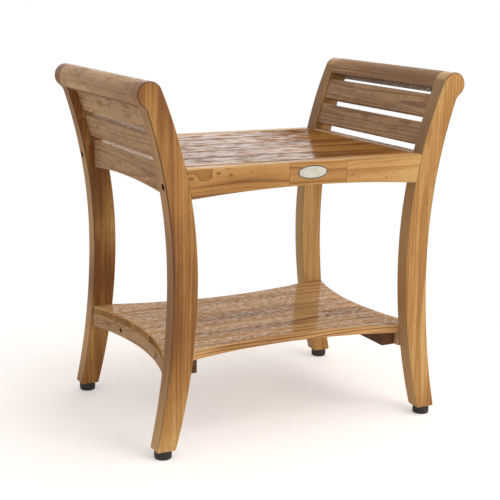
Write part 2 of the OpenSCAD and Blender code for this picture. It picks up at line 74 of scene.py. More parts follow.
ROOT_BODY = "bench_frame"
SIDES = {"left": -1, "right": 1}
FACES = {"front": -1, "rear": 1}
CRISP = 0.0004  # arris where two boards meet
EASED = 0.0022  # arris in the open
CRISP_RUN = 0.012  # height over which an eased arris turns crisp
CORNER_SPARE = 1.25  # a corner's radius over the arris that turns it
CUT_SPARE = 1.05  # how near a cut corner an edge keeps its points, in lengths of the cut
FLATNESS = 0.00001  # how far a facet may stand inside the arc that it follows
LEAST_TURN = math.radians(1)  # edges that meet at a smaller turn run on without a corner
CORNER_FACET = math.radians(15)  # the most that a facet of a corner turns
ARRIS_STEPS = 5  # facets round an arris
PROFILE_STEPS = 6  # facets round a corner of a turned piece
PORT_CELLS = 8  # cells along each side of the patch round a hole
PATCH_SPARE = 1.45  # half the patch's side over the hole's radius
PATCH_MARGIN = 0.3  # how near the patch an edge keeps its other points, in cells
FINE_STEPS = 4000  # steps along an edge by which its holes are found
TOUCH = 1e-6  # how far rounding may part two equal places


# Outlines


@dataclass(frozen=True)
class Port:
    """A round hole drilled into a board's edge, straight along one axis of the outline's plane.

    place is where the hole's axis crosses the edge and level its place through the board's thickness.
    floor is the drilled coordinate of the hole's end, and along_u tells whether that coordinate is u or v.
    lip is the radius that rounds its mouth.
    """

    place: float
    level: float
    radius: float
    floor: float
    along_u: bool = True
    lip: float = 0.0003

    @property
    def reach(self) -> float:
        """Half the side of the square patch that carries the hole's mouth."""
        return PATCH_SPARE * self.radius


@dataclass(frozen=True)
class Edge:
    """One stretch of an outline, from the last stretch's end to its own.

    centre is the middle of its arc, or None where it is straight. hollow tells an arc that draws in from one
    that swells. ease is the radius of its arris. The field after it tells how pale that arris is, for wear
    and painted highlight, or below zero how dark, and the next one how much painted shade darkens the stretch
    itself.
    """

    end: complex
    centre: complex | None = None
    hollow: bool = False
    ease: float = EASED
    arris_lightness: float = 1.0
    painted_shade: float = 0.0
    ports: tuple[Port, ...] = ()

    def sample(self, start: complex) -> tuple[np.ndarray, np.ndarray]:
        """Points along the stretch: a straight blend of its ends, or its start turned about the arc's centre.

        Args:
            start: The end of the stretch before.

        Returns:
            The points with both ends, and the unit normals that point out of the board.
        """
        if self.centre is None:
            points = self._at(start, self._shares(start, 1))
            return points, np.full(points.shape, -1j * (self.end - start) / abs(self.end - start))
        radius = abs(start - self.centre)
        steps = math.ceil(radius * abs(self._turn(start)) / math.sqrt(8 * FLATNESS * radius))
        points = self._at(start, self._shares(start, max(2, steps)))
        outward = -1 if self.hollow else 1
        return points, outward * (points - self.centre) / radius

    def _turn(self, start: complex) -> float:
        """Angle of the arc, positive where it swells and negative where it is hollow."""
        turn = float(np.angle((self.end - self.centre) / (start - self.centre))) % (2 * math.pi)
        return turn - 2 * math.pi if self.hollow else turn

    def _at(self, start: complex, share: np.ndarray) -> np.ndarray:
        """Points of the stretch.

        Args:
            start: The end of the stretch before.
            share: How far along the stretch they lie, from 0 to 1.

        Returns:
            The points.
        """
        if self.centre is None:
            return start + share * (self.end - start)
        return self.centre + (start - self.centre) * np.exp(1j * self._turn(start) * share)

    def _shares(self, start: complex, steps: int) -> np.ndarray:
        """Even shares of the stretch, with a finer set across each hole's patch.

        Args:
            start: The end of the stretch before.
            steps: How many even steps there are.

        Returns:
            The shares, from 0 to 1.
        """
        share = np.linspace(0, 1, steps + 1)
        fine = np.linspace(0, 1, FINE_STEPS + 1)
        for port in self.ports:
            points = self._at(start, fine)
            run = points.imag if port.along_u else points.real
            order = np.argsort(run)
            window = port.place + np.linspace(-1, 1, PORT_CELLS + 1) * port.reach
            found = np.interp(window, run[order], fine[order])
            margin = PATCH_MARGIN * (found.max() - found.min()) / PORT_CELLS
            outside = (share < found.min() - margin) | (share > found.max() + margin)
            share = np.sort(np.concatenate([share[outside], found]))
        return share


@dataclass
class Outline:
    """A closed outline: each point's place, outward normal, arris radius, arris paleness (wear and painted
    highlight, dark below zero), painted shade and edge number.

    ports are its holes, each with the number of its edge.
    """

    point: np.ndarray
    normal: np.ndarray
    ease: np.ndarray
    arris_lightness: np.ndarray
    painted_shade: np.ndarray
    edge: np.ndarray
    ports: list[tuple[int, Port]]


def trace(edges: list[Edge]) -> Outline:
    """Joins edges anticlockwise into one outline.

    Where two edges meet at an angle, both are cut back by radius * tan(turn / 2) and an arc of that radius
    turns the corner. Where they touch, one of the two meeting points is dropped.

    Args:
        edges: The stretches in order; the first starts at the last one's end.

    Returns:
        The outline.
    """
    count = len(edges)
    runs = [edge.sample(edges[i - 1].end) for i, edge in enumerate(edges)]
    parts: list[tuple[np.ndarray, ...]] = []
    cuts = [0.0] * count
    fillets: list[tuple[np.ndarray, ...] | None] = [None] * count
    for i in range(count):
        after = (i + 1) % count
        corner, before_n, after_n = edges[i].end, runs[i][1][-1], runs[after][1][0]
        turn = float(np.angle(after_n / before_n))
        if abs(turn) < LEAST_TURN:
            continue
        pairs = [(getattr(edges[i], name), getattr(edges[after], name)) for name in ("ease", "arris_lightness", "painted_shade")]
        radius = CORNER_SPARE * max(pairs[0])
        cuts[i] = radius * math.tan(abs(turn) / 2)
        sign = math.copysign(1, turn)
        middle = corner - cuts[i] * 1j * before_n - sign * radius * before_n
        share = np.linspace(0, 1, max(4, math.ceil(abs(turn) / CORNER_FACET)) + 1)
        normals = before_n * np.exp(1j * turn * share)
        blends = (pair[0] + (pair[1] - pair[0]) * share for pair in pairs)
        fillets[i] = (middle + sign * radius * normals, normals, *blends)
    for i in range(count):
        points, normals = runs[i]
        start, end = edges[i - 1].end, edges[i].end
        keep = np.ones(points.shape, bool)
        if fillets[i - 1] is not None:
            keep &= abs(points - start) > cuts[i - 1] * CUT_SPARE
        if fillets[i] is not None:
            keep &= abs(points - end) > cuts[i] * CUT_SPARE
        else:
            keep[-1] = False
        size = int(keep.sum())
        even = (np.full(size, value) for value in (edges[i].ease, edges[i].arris_lightness, edges[i].painted_shade, i))
        parts.append((points[keep], normals[keep], *even))
        if fillets[i] is not None:
            parts.append((*fillets[i], np.full(fillets[i][0].shape, -1)))
    ports = [(i, port) for i, stretch in enumerate(edges) for port in stretch.ports]
    return Outline(*(np.concatenate(column) for column in zip(*parts)), ports)


def rounded_box(middle: complex, size: tuple[float, float], corner: float, lean: float = 0.0) -> list[Edge]:
    """A rectangle with round corners, turned about its middle.

    Args:
        middle: Its middle.
        size: Its two sides.
        corner: Radius of its corners, each a quarter of a circle.
        lean: The angle that it is turned by, anticlockwise.

    Returns:
        Its edges, four straight and four round.
    """
    turn = complex(math.cos(lean), math.sin(lean))
    half = complex(size[0] / 2 - corner, size[1] / 2 - corner)
    edges = []
    for quarter in range(4):
        way = turn * 1j**quarter
        pivot = middle + way * (half if quarter % 2 == 0 else complex(half.imag, half.real))
        edges += [Edge(pivot + way * corner), Edge(pivot + way * 1j * corner, centre=pivot)]
    return edges


# Boards


class Plane(Enum):
    """The plane of a board's outline: the axes of u, of v and of its thickness."""

    FRONT = (0, 2, 1)
    SIDE = (1, 2, 0)
    PLAN = (0, 1, 2)


class Grain(Enum):
    """The way of a board's grain: the axes along it, across it and through it."""

    UPRIGHT = (2, 0, 1)
    SIDEWAYS = (0, 2, 1)
    FLAT = (0, 1, 2)
    DEEP = (1, 2, 0)


@dataclass
class Skin:
    """A closed surface: each vertex's place, normal and arris, its quads, and its flat caps.

    arris is 1 in the middle of a pale arris, pale for wear and painted highlight, and below zero where the
    wood
    is darkened: by painted shade, and on the dark arrises of the legs' outer edges.
    """

    place: np.ndarray
    normal: np.ndarray
    arris: np.ndarray
    quads: np.ndarray
    caps: list[np.ndarray]

    def tidy(self) -> "Skin":
        """The same surface without the vertices that no face uses.

        Returns:
            The surface.
        """
        used = np.unique(np.concatenate([self.quads.ravel(), *self.caps]))
        fresh = np.zeros(len(self.place), int)
        fresh[used] = np.arange(len(used))
        caps = [fresh[cap] for cap in self.caps]
        return Skin(self.place[used], self.normal[used], self.arris[used], fresh[self.quads], caps)


def in_board(plane_points: np.ndarray, level: np.ndarray | float) -> np.ndarray:
    """Columns u, v and w of points given as complex numbers and levels."""
    return np.stack([plane_points.real, plane_points.imag, np.broadcast_to(level, plane_points.shape)], -1)


def strip_quads(rows: int, columns: int) -> np.ndarray:
    """Quads of a grid that is closed along its columns.

    Args:
        rows: How many rows of vertices it has.
        columns: How many vertices a row has.

    Returns:
        The quads' vertices, as an array of rows - 1 by columns by 4.
    """
    j, i = np.meshgrid(np.arange(rows - 1), np.arange(columns), indexing="ij")
    low, high, after = j * columns, (j + 1) * columns, (i + 1) % columns
    return np.stack([low + i, low + after, high + after, high + i], -1)


def bands(cap: np.ndarray, height: np.ndarray, steps: np.ndarray) -> list[np.ndarray]:
    """Cuts a flat cap across at some heights, so that what changes with height changes evenly over it.

    Args:
        cap: The cap's vertices in order.
        height: Their heights, which rise to the highest vertex and fall again.
        steps: The heights of the cuts, from low to high.

    Returns:
        The cap's bands from low to high, or the cap alone where there are no cuts.
    """
    start = int(np.argmin(height))
    cap, height = np.roll(cap, -start), np.roll(height, -start)
    rising, falling = [0], [len(cap) - 1]
    for step in steps:
        above = np.flatnonzero(height >= step)
        rising.append(int(above[0]))
        falling.append(int(above[-1]))
    pieces = [
        np.concatenate([cap[rising[i]:rising[i + 1] + 1], cap[falling[i + 1]:falling[i] + 1]])
        for i in range(len(steps))
    ]
    return pieces + [cap[rising[-1]:falling[-1] + 1]]


def board_skin(outline: Outline, low: float, high: float, ease_high: np.ndarray | None = None) -> Skin:
    """A board: its outline is carried through its thickness along a profile with two rounded arrises.

    At the angle a of an arris of radius e, a vertex stands e * (1 - sin a) inside the outline and
    e * (1 - cos a) inside the board's face, and its normal leans by a from the face's to the edge's.

    Args:
        outline: The board's outline.
        low: Level of one face.
        high: Level of the other face.
        ease_high: Arris radii along the high face, or None for the outline's own.

    Returns:
        The closed surface, with its holes.
    """
    top = outline.ease if ease_high is None else ease_high
    angle = np.linspace(0, math.pi / 2, ARRIS_STEPS + 1)[:, None]
    levels = sorted({
        round(port.level + step * port.reach, 7)
        for _, port in outline.ports
        for step in np.linspace(-1, 1, PORT_CELLS + 1)
    })
    level = np.array(levels).reshape(-1, 1)
    flat = np.zeros((len(levels), len(outline.point)))
    inset = np.concatenate([outline.ease * (1 - np.sin(angle)), flat, top * (1 - np.sin(angle[::-1]))])
    height = np.concatenate([
        low + outline.ease * (1 - np.cos(angle)),
        flat + level,
        high - top * (1 - np.cos(angle[::-1])),
    ])
    out = np.concatenate([np.sin(angle) + 0 * outline.ease, flat + 1, np.sin(angle[::-1]) + 0 * top])
    lean = np.concatenate([-np.cos(angle) + 0 * outline.ease, flat, np.cos(angle[::-1]) + 0 * top])
    rows, columns = inset.shape
    place = in_board(outline.point - outline.normal * inset, height)
    normal = in_board(outline.normal * out, lean)
    # pale arrises, for wear and painted highlight, less painted shade, which covers a shaded stretch's flat
    arris = 2 * out * abs(lean) * outline.arris_lightness - out**2 * outline.painted_shade
    quads = strip_quads(rows, columns)
    solid = np.ones(quads.shape[:2], bool)
    skin = Skin(place.reshape(-1, 3), normal.reshape(-1, 3), arris.ravel(), quads.reshape(-1, 4), [])
    skin.caps = [np.arange(columns)[::-1], (rows - 1) * columns + np.arange(columns)]
    for edge, port in outline.ports:
        cut_port(skin, outline, edge, port, solid, height)
    skin.quads = np.concatenate([quads[solid], skin.quads[quads[..., 0].size:]])
    return skin.tidy()


def cut_port(
    skin: Skin, outline: Outline, edge: int, port: Port, solid: np.ndarray, height: np.ndarray,
) -> None:
    """Opens a round hole in a board's edge.

    The square patch around the mouth becomes rings that blend its border into a circle, a quarter-round lip,
    a straight wall and a floor.

    Args:
        skin: The board's surface, which gains the rings.
        outline: The board's outline.
        edge: The number of the edge that is drilled.
        port: The hole.
        solid: Which cells of the grid are faces; the patch's are cleared.
        height: Levels of the grid's rows.
    """
    run = outline.point.imag if port.along_u else outline.point.real
    drilled = outline.point.real if port.along_u else outline.point.imag
    facing = outline.normal.real if port.along_u else outline.normal.imag
    column = np.flatnonzero((outline.edge == edge) & (abs(run - port.place) <= port.reach + TOUCH))
    row = np.flatnonzero(abs(height[:, column[0]] - port.level) <= port.reach + TOUCH)
    solid[row[0]:row[-1], column[0]:column[-1]] = False
    size = len(outline.point)
    border = np.concatenate([
        row[0] * size + column[:-1],
        row[:-1] * size + column[-1],
        row[-1] * size + column[:0:-1],
        row[:0:-1] * size + column[0],
    ])
    order = np.argsort(run[column])
    edge_run, edge_drilled = run[column][order], drilled[column][order]
    edge_normal = outline.normal[column][order]
    sign = math.copysign(1, facing[column].mean())
    home = skin.place[border]
    flat = (home[:, 1] if port.along_u else home[:, 0]) - port.place + 1j * (home[:, 2] - port.level)
    way = flat / abs(flat)

    def ring(spot: np.ndarray, depth: float, slope: float, end: float | None = None) -> np.ndarray:
        """Adds a ring of vertices about the hole's axis.

        Args:
            spot: Their places round the axis.
            depth: How far they are sunk from the edge.
            slope: How far their normals lean towards the axis.
            end: The drilled coordinate that they have instead, if they aren't at the edge.

        Returns:
            Their numbers.
        """
        along = port.place + spot.real
        if end is None:
            deep = np.interp(along, edge_run, edge_drilled) - sign * depth
            out = np.interp(along, edge_run, edge_normal)
        else:
            deep = np.full(len(spot), end)
            out = np.full(len(spot), complex(sign) if port.along_u else complex(0, sign))
        plane = deep + 1j * along if port.along_u else along + 1j * deep
        wall = -1j * way.real if port.along_u else -way.real
        lean = out * math.cos(slope) + wall * math.sin(slope)
        first = len(skin.place)
        skin.place = np.concatenate([skin.place, in_board(plane, port.level + spot.imag)])
        skin.normal = np.concatenate([skin.normal, in_board(lean, -way.imag * math.sin(slope))])
        # the lip and the wall are darkened by their slope: painted shade inside the hole
        skin.arris = np.concatenate([skin.arris, np.full(len(spot), -min(1.0, slope))])
        return first + np.arange(len(spot))

    mouth = port.radius + port.lip
    right = math.pi / 2
    loops = [border]
    loops += [ring(flat + (mouth * way - flat) * share, 0.0, 0.0) for share in (0.5, 1.0)]
    for tilt in (right / 2, right):
        spread = port.lip * (1 - math.sin(tilt))
        loops.append(ring((port.radius + spread) * way, port.lip * (1 - math.cos(tilt)), tilt))
    loops.append(ring(port.radius * way, 0.0, right, port.floor + sign * port.lip))
    loops.append(ring((port.radius - port.lip) * way, 0.0, 0.0, port.floor))
    for outer, inner in zip(loops, loops[1:]):
        fresh = np.stack([outer, np.roll(outer, -1), np.roll(inner, -1), inner], -1)
        skin.quads = np.concatenate([skin.quads, fresh])
    skin.caps.append(loops[-1])


def lathe_skin(profile: np.ndarray, normal: np.ndarray, turns: int, axis: tuple[float, float]) -> Skin:
    """Turns a profile about an upright axis: (r, z) goes to (x + r * cos a, y + r * sin a, z).

    Args:
        profile: Radius + height * 1j along the profile, from one pole to the other, going up outside.
        normal: Outward normals of the profile, in the same plane.
        turns: Facets round the axis.
        axis: The axis's x and y.

    Returns:
        The closed surface, with a cap at each pole.
    """
    angle = np.arange(turns) * 2 * math.pi / turns
    spin = np.exp(1j * angle)
    flat = axis[0] + 1j * axis[1] + profile.real[:, None] * spin
    place = in_board(flat, profile.imag[:, None] + 0 * angle)
    lean = in_board(normal.real[:, None] * spin, normal.imag[:, None] + 0 * angle)
    quads = strip_quads(len(profile), turns).reshape(-1, 4)
    last = (len(profile) - 1) * turns
    caps = [np.arange(turns)[::-1], last + np.arange(turns)]
    return Skin(place.reshape(-1, 3), lean.reshape(-1, 3), np.zeros(place.size // 3), quads, caps)


def profile_of(corners: list[tuple[float, float, float]]) -> tuple[np.ndarray, np.ndarray]:
    """A lathe profile with rounded corners.

    Args:
        corners: Radius, height and corner radius of each point, from pole to pole.

    Returns:
        Its points as radius + height * 1j, and its outward normals, on the right of the way along it.
    """
    spots = [complex(r, z) for r, z, _ in corners]
    points, normals = [spots[0]], [-1j * (spots[1] - spots[0]) / abs(spots[1] - spots[0])]
    for i in range(1, len(spots) - 1):
        before = (spots[i] - spots[i - 1]) / abs(spots[i] - spots[i - 1])
        after = (spots[i + 1] - spots[i]) / abs(spots[i + 1] - spots[i])
        turn = float(np.angle(after / before))
        radius = corners[i][2]
        sign = math.copysign(1, turn)
        cut = radius * math.tan(abs(turn) / 2)
        middle = spots[i] - cut * before + sign * radius * 1j * before
        share = np.linspace(0, 1, PROFILE_STEPS + 1)
        lean = -1j * before * np.exp(1j * turn * share)
        points.extend(middle + sign * radius * lean)
        normals.extend(lean)
    points.append(spots[-1])
    normals.append(-1j * (spots[-1] - spots[-2]) / abs(spots[-1] - spots[-2]))
    return np.array(points), np.array(normals)


def make_piece(
    name: str, skin: Skin, axes: tuple[int, int, int] = (0, 1, 2), flip: tuple[int, int, int] = (1, 1, 1),
) -> Piece:
    """Puts a surface into a mesh object.

    Args:
        name: The object's name.
        skin: The surface in its own u, v and w.
        axes: The axes that u, v and w go to.
        flip: The sign of x, y and z, which mirrors the piece.

    Returns:
        The linked object, at the origin.
    """
    place, normal = np.empty_like(skin.place), np.empty_like(skin.normal)
    for column, axis in enumerate(axes):
        place[:, axis] = skin.place[:, column] * flip[axis]
        normal[:, axis] = skin.normal[:, column] * flip[axis]
    mirrored = np.linalg.det(np.eye(3)[list(axes)]) * math.prod(flip) < 0
    turn = slice(None, None, -1) if mirrored else slice(None)
    faces = skin.quads[:, turn].tolist() + [cap[turn].tolist() for cap in skin.caps]
    mesh = bpy.data.meshes.new(name)
    mesh.from_pydata(place.tolist(), [], faces)
    mesh.polygons.foreach_set("use_smooth", np.ones(len(mesh.polygons), bool))
    mesh.update()
    mesh.normals_split_custom_set_from_vertices(normal.tolist())
    arris = mesh.attributes.new("arris", "FLOAT", "POINT")
    arris.data.foreach_set("value", skin.arris.astype(np.float32))
    facing = mesh.attributes.new("facing", "FLOAT_VECTOR", "POINT")
    facing.data.foreach_set("vector", normal.astype(np.float32).ravel())
    piece = bpy.data.objects.new(name, mesh)
    bpy.context.scene.collection.objects.link(piece)
    return piece


def settle(piece: Piece, finishes: "Finishes", finish: str, body: str = ROOT_BODY, node: str = "") -> None:
    """Dresses a piece and says what it is to the frame.

    Args:
        piece: The piece.
        finishes: The materials.
        finish: Its finish.
        body: The body that it rides on.
        node: The CAD node that it replaces, if it does.
    """
    finishes.dress(piece, finish)
    if node:
        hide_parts(node)
    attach(piece, body)
    LOG.info("%s: %d faces", piece.name, len(piece.data.polygons))


@dataclass(frozen=True)
class Timber:
    """How a board was cut from its log: the way of its grain, and where the log's heart lies.

    across and through are the heart's distances from the board's middle, and shift moves the board along the
    log. tones tell how much paler than its finish the board is painted, or below zero how much darker, at
    even steps from the board's low end to its high end: the wood's own tone, and on some boards painted shade
    and light.
    """

    grain: Grain
    across: float
    through: float
    shift: float
    tones: tuple[float, ...]

    def mark(self, piece: Piece) -> None:
        """Writes what teak's materials read on each vertex: its tone and its place in the log.

        Args:
            piece: The board's object.
        """
        mesh = piece.data
        place = np.zeros(len(mesh.vertices) * 3, np.float32)
        mesh.vertices.foreach_get("co", place)
        place = place.reshape(-1, 3)
        middle = (place.min(0) + place.max(0)) / 2
        log = (place - middle)[:, list(self.grain.value)] + np.array([self.shift, self.across, self.through])
        attribute = mesh.attributes.new("log", "FLOAT_VECTOR", "POINT")
        attribute.data.foreach_set("vector", log.astype(np.float32).ravel())
        along = place[:, self.grain.value[0]]
        steps = np.linspace(along.min(), along.max(), len(self.tones))
        tone = mesh.attributes.new("tone", "FLOAT", "POINT")
        tone.data.foreach_set("value", np.interp(along, steps, self.tones).astype(np.float32))


class Workshop:
    """The materials, and a mill that cuts each next board from another part of the log.

    The mill draws the log's heart, a shift along the log and a stray tone from these ranges, the same on each
    run.
    """

    HEART_ACROSS = (-0.03, 0.03)
    HEART_THROUGH = (0.022, 0.06)
    SHIFT = (2, 40)
    STRAY = (-0.12, 0.12)

    def __init__(self, seed: int) -> None:
        """Starts the mill's draw from a seed."""
        self.finishes = Finishes()
        self.draw = np.random.default_rng(seed)

    def cut(self, grain: Grain, tones: tuple[float, ...]) -> Timber:
        """Draws a timber.

        Args:
            grain: The way of its grain.
            tones: The tones that it is near.

        Returns:
            The timber.
        """
        ranges = (self.HEART_ACROSS, self.HEART_THROUGH, self.SHIFT, self.STRAY)
        across, through, shift, stray = (self.draw.uniform(*between) for between in ranges)
        return Timber(grain, across, through, shift, tuple(tone + stray for tone in tones))


@dataclass
class Board:
    """One board that stands for a CAD node: its outline, plane, thickness, grain and finish.

    x_sign and y_sign mirror it, and tones are its timber's. Above the height crisp_above, the arrises of its
    high face are crisp.
    """

    node: str
    edges: list[Edge]
    plane: Plane
    low: float
    high: float
    grain: Grain
    finish: str
    x_sign: int = 1
    y_sign: int = 1
    tones: tuple[float, ...] = (0.0,)
    crisp_above: float | None = None

    def build(self, shop: Workshop) -> None:
        """Makes the board, dresses it and puts it in the place of its node.

        Args:
            shop: Where it is made.
        """
        timber = shop.cut(self.grain, self.tones)
        outline = trace(self.edges)
        ease_high = None
        if self.crisp_above is not None:
            fade = np.clip((outline.point.imag - self.crisp_above) / CRISP_RUN + 0.5, 0, 1)
            ease_high = outline.ease + (np.minimum(outline.ease, CRISP) - outline.ease) * fade
        skin = board_skin(outline, self.low, self.high, ease_high)
        v = skin.place[:, 1]
        steps = np.linspace(v.min(), v.max(), len(self.tones))[1:-1]
        faces = [band for cap in skin.caps[:2] for band in bands(cap, v[cap], steps)]
        skin.caps = faces + skin.caps[2:]
        piece = make_piece(self.node + "_board", skin, self.plane.value, (self.x_sign, self.y_sign, 1))
        timber.mark(piece)
        settle(piece, shop.finishes, self.finish, node=self.node)


# Shader trees


@dataclass(frozen=True)
class Noise:
    """A noise texture: how many of its cells lie in a metre along each axis, its detail and its roughness."""

    cells: tuple[float, float, float]
    detail: float = 2.0
    rough: float = 0.5


# Teak's figure, over the place in the log
SWAY = Noise((2.1, 9.0, 9.0))
STREAKS = Noise((3.2, 210.0, 60.0), 4.0, 0.62)
FIBRES = Noise((26.0, 1150.0, 1150.0), 2.0, 0.6)
PORES = Noise((85.0, 1500.0, 1500.0), 1.0)
PORE_RANGE = (0.6, 0.7)
BROAD = Noise((3.4, 19.0, 19.0), 2.0, 0.55)
YEAR_CELLS = 0.37  # cells in a year of the noise that makes years uneven
YEAR_SHIFT = 2.4  # the most years that it shifts them by
LATE_START = (0.35, 0.9)  # shares of a year over which its wood darkens
LATE_END = (1.0, 0.9)  # and over which it pales again, from the end backwards
YEAR_STRENGTH = (0.75, 0.25)  # slope and start of the years' strength
FIBRE_RELIEF = 0.6
PORE_RELIEF = -0.5

# What each part of the figure adds to the tone, and the tones between which one colour turns to the next
BROAD_TONE = (-0.2, 1.1)  # slope and start over the figure's strength
STREAK_TONE = (0.2, 0.35)
FIBRE_TONE = 0.3
RING_TONE = -0.42
BOARD_TONE = 0.4
MIDDLE_RANGE = (0.42, 0.9)
PALE_RANGE = (0.82, 1.15)

WEATHER = Noise((7.0, 45.0, 45.0), 4.0, 0.62)
WEATHER_RANGE = (0.3, 0.62)
WEATHER_SHARES = (0.45, 1.0)
DARK_SHARES = (0.3, 1.0)  # share of the weather on a board one tone darker, and on an even one
DAMP = Noise((22.0, 60.0, 60.0), 5.0, 0.65)
DAMP_RANGE = (0.5, 0.68)
# how far painted shade, and the dark arrises, go towards the shade colour
PAINTED_SHADE_SHARE = -0.8

KNOT_STRETCH = (0.62, 0.0, 1.0)  # a knot is drawn out along the grain
KNOT_FALL = -0.33
KNOT_PUSH = 0.6
KNOT_NOISE = Noise((260.0, 260.0, 260.0))
KNOT_RAGGED = (1.2, -0.6)  # slope and start of what that noise adds to the distance, in radii
KNOT_CORE = (1.1, 0.3)  # distances at which its core starts and is darkest, in radii

CROWD = Noise((14.0, 14.0, 14.0))
CROWD_RANGE = (0.36, 0.62)
CROWD_SHARES = (0.25, 1.6)  # share of beads where they are few and where they crowd
BEAD_RADII = (0.3, 0.14)  # range and least of a bead's radius, in cells
BEAD_RIM = 0.25
SCATTER = 0.9  # how far beads stand off an even grid

POOLS = Noise((0.6, 1.0, 1.0), 5.0, 0.68)
RIPPLES = Noise((2.2, 4.4, 4.4), 3.0, 0.55)
COVER_LINE = (-0.5, 0.75)  # slope and start, over the cover, of the level above which pools are wet
POOL_RIM = 0.2
LEVEL_RANGE = (0.35, 0.8)  # upward part of the normal at which a film starts and is whole

FINE = Noise((1.0, 1.0, 1.0), 3.0, 0.6)
COARSE = Noise((1.0, 1.0, 1.0))
COARSE_CELLS = 0.07  # cells of the coarse marks over those of the fine ones
COARSE_RANGE = (0.35, 0.65)


class Wiring:
    """Adds nodes to a shader tree and joins or sets their sockets."""

    def __init__(self, tree: bpy.types.NodeTree) -> None:
        """Works on a tree."""
        self.tree = tree

    def add(self, kind: str, inputs: dict[str | int, Value], **settings: object) -> bpy.types.Node:
        """Adds a node.

        Args:
            kind: The node's type, without its first word, ShaderNode.
            inputs: What each input socket is joined to or set to, by name or number.
            settings: The node's own properties.

        Returns:
            The node.
        """
        node = self.tree.nodes.new("ShaderNode" + kind)
        for name, value in settings.items():
            setattr(node, name, value)
        for key, value in inputs.items():
            self.plug(node.inputs[key], value)
        return node

    def plug(self, socket: Socket, value: Value) -> None:
        """Joins or sets an input socket. A colour of three parts gets its alpha.

        Args:
            socket: The input.
            value: The socket that it is joined to, or what it is set to.
        """
        if isinstance(value, Socket):
            self.tree.links.new(value, socket)
        else:
            socket.default_value = (*value, 1.0) if socket.type == "RGBA" else value

    def group(self, tree: bpy.types.NodeTree, inputs: dict[str | int, Value]) -> dict[str, Socket]:
        """Places a node group and gives its outputs by name."""
        return dict(self.add("Group", inputs, node_tree=tree).outputs.items())

    def math(self, operation: str, *values: Value) -> Socket:
        """A number worked out from others."""
        return self.add("Math", dict(enumerate(values)), operation=operation).outputs[0]

    def times(self, first: Value, second: Value) -> Socket:
        """The product of two numbers."""
        return self.math("MULTIPLY", first, second)

    def line(self, value: Value, slope: Value, start: Value) -> Socket:
        """A number that rises from a start by a slope."""
        return self.math("MULTIPLY_ADD", value, slope, start)

    def remap(self, value: Value, low: Value, high: Value, to: tuple[Value, Value] = (0.0, 1.0)) -> Socket:
        """A value taken smoothly from one range to another, and held at its ends."""
        inputs = {"Value": value, "From Min": low, "From Max": high, "To Min": to[0], "To Max": to[1]}
        return self.add("MapRange", inputs, interpolation_type="SMOOTHSTEP").outputs[0]

    def vector(self, operation: str, *values: Value) -> Socket:
        """A vector worked out from others."""
        return self.add("VectorMath", dict(enumerate(values)), operation=operation).outputs[0]

    def scale(self, vector: Value, factor: Value) -> Socket:
        """A vector made longer by a factor."""
        return self.add("VectorMath", {0: vector, "Scale": factor}, operation="SCALE").outputs[0]

    def length(self, vector: Value) -> Socket:
        """The length of a vector."""
        return self.add("VectorMath", {0: vector}, operation="LENGTH").outputs["Value"]

    def split(self, vector: Value) -> tuple[Socket, ...]:
        """The three parts of a vector."""
        return tuple(self.add("SeparateXYZ", {0: vector}).outputs)

    def join(self, *parts: Value) -> Socket:
        """A vector from three parts."""
        return self.add("CombineXYZ", dict(enumerate(parts))).outputs[0]

    def noise(self, place: Value, noise: Noise, output: int | str = 0) -> Socket:
        """A noise over a place.

        Args:
            place: The place.
            noise: The noise.
            output: The output socket, by name or number.

        Returns:
            The output.
        """
        inputs = {"Vector": self.vector("MULTIPLY", place, noise.cells), "Scale": 1.0}
        inputs |= {"Detail": noise.detail, "Roughness": noise.rough}
        return self.add("TexNoise", inputs).outputs[output]

    def blend(self, share: Value, first: Value, second: Value) -> Socket:
        """A colour mixed from two."""
        return self.add("Mix", {0: share, 6: first, 7: second}, data_type="RGBA").outputs[2]

    def attribute(self, name: str, output: str) -> Socket:
        """A value that the mesh carries on its vertices."""
        return self.add("Attribute", {}, attribute_name=name).outputs[output]

    def place(self) -> Socket:
        """The point's place on the piece."""
        return self.add("TexCoord", {}).outputs["Object"]


def dim(colour: Colour, factor: float) -> Colour:
    """A colour made darker or lighter by a factor."""
    return tuple(factor * part for part in colour)


class Group(Wiring):
    """A shader node group with named sockets, wired from what it gets to what it gives."""

    def __init__(self, name: str, inputs: dict[str, str], outputs: tuple[str, ...]) -> None:
        """Starts the group.

        Args:
            name: Its name.
            inputs: Kind of each input socket, by name.
            outputs: Names of the output sockets, each a number.
        """
        super().__init__(bpy.data.node_groups.new(name, "ShaderNodeTree"))
        for way, sockets in (("INPUT", inputs), ("OUTPUT", dict.fromkeys(outputs, "Float"))):
            for socket, kind in sockets.items():
                self.tree.interface.new_socket(name=socket, in_out=way, socket_type="NodeSocket" + kind)
        self.get = dict(self.tree.nodes.new("NodeGroupInput").outputs.items())

    def give(self, values: dict[str, Value]) -> bpy.types.NodeTree:
        """Joins the outputs.

        Args:
            values: What each output is joined to, by name.

        Returns:
            The finished tree.
        """
        end = self.tree.nodes.new("NodeGroupOutput")
        for name, value in values.items():
            self.plug(end.inputs[name], value)
        return self.tree


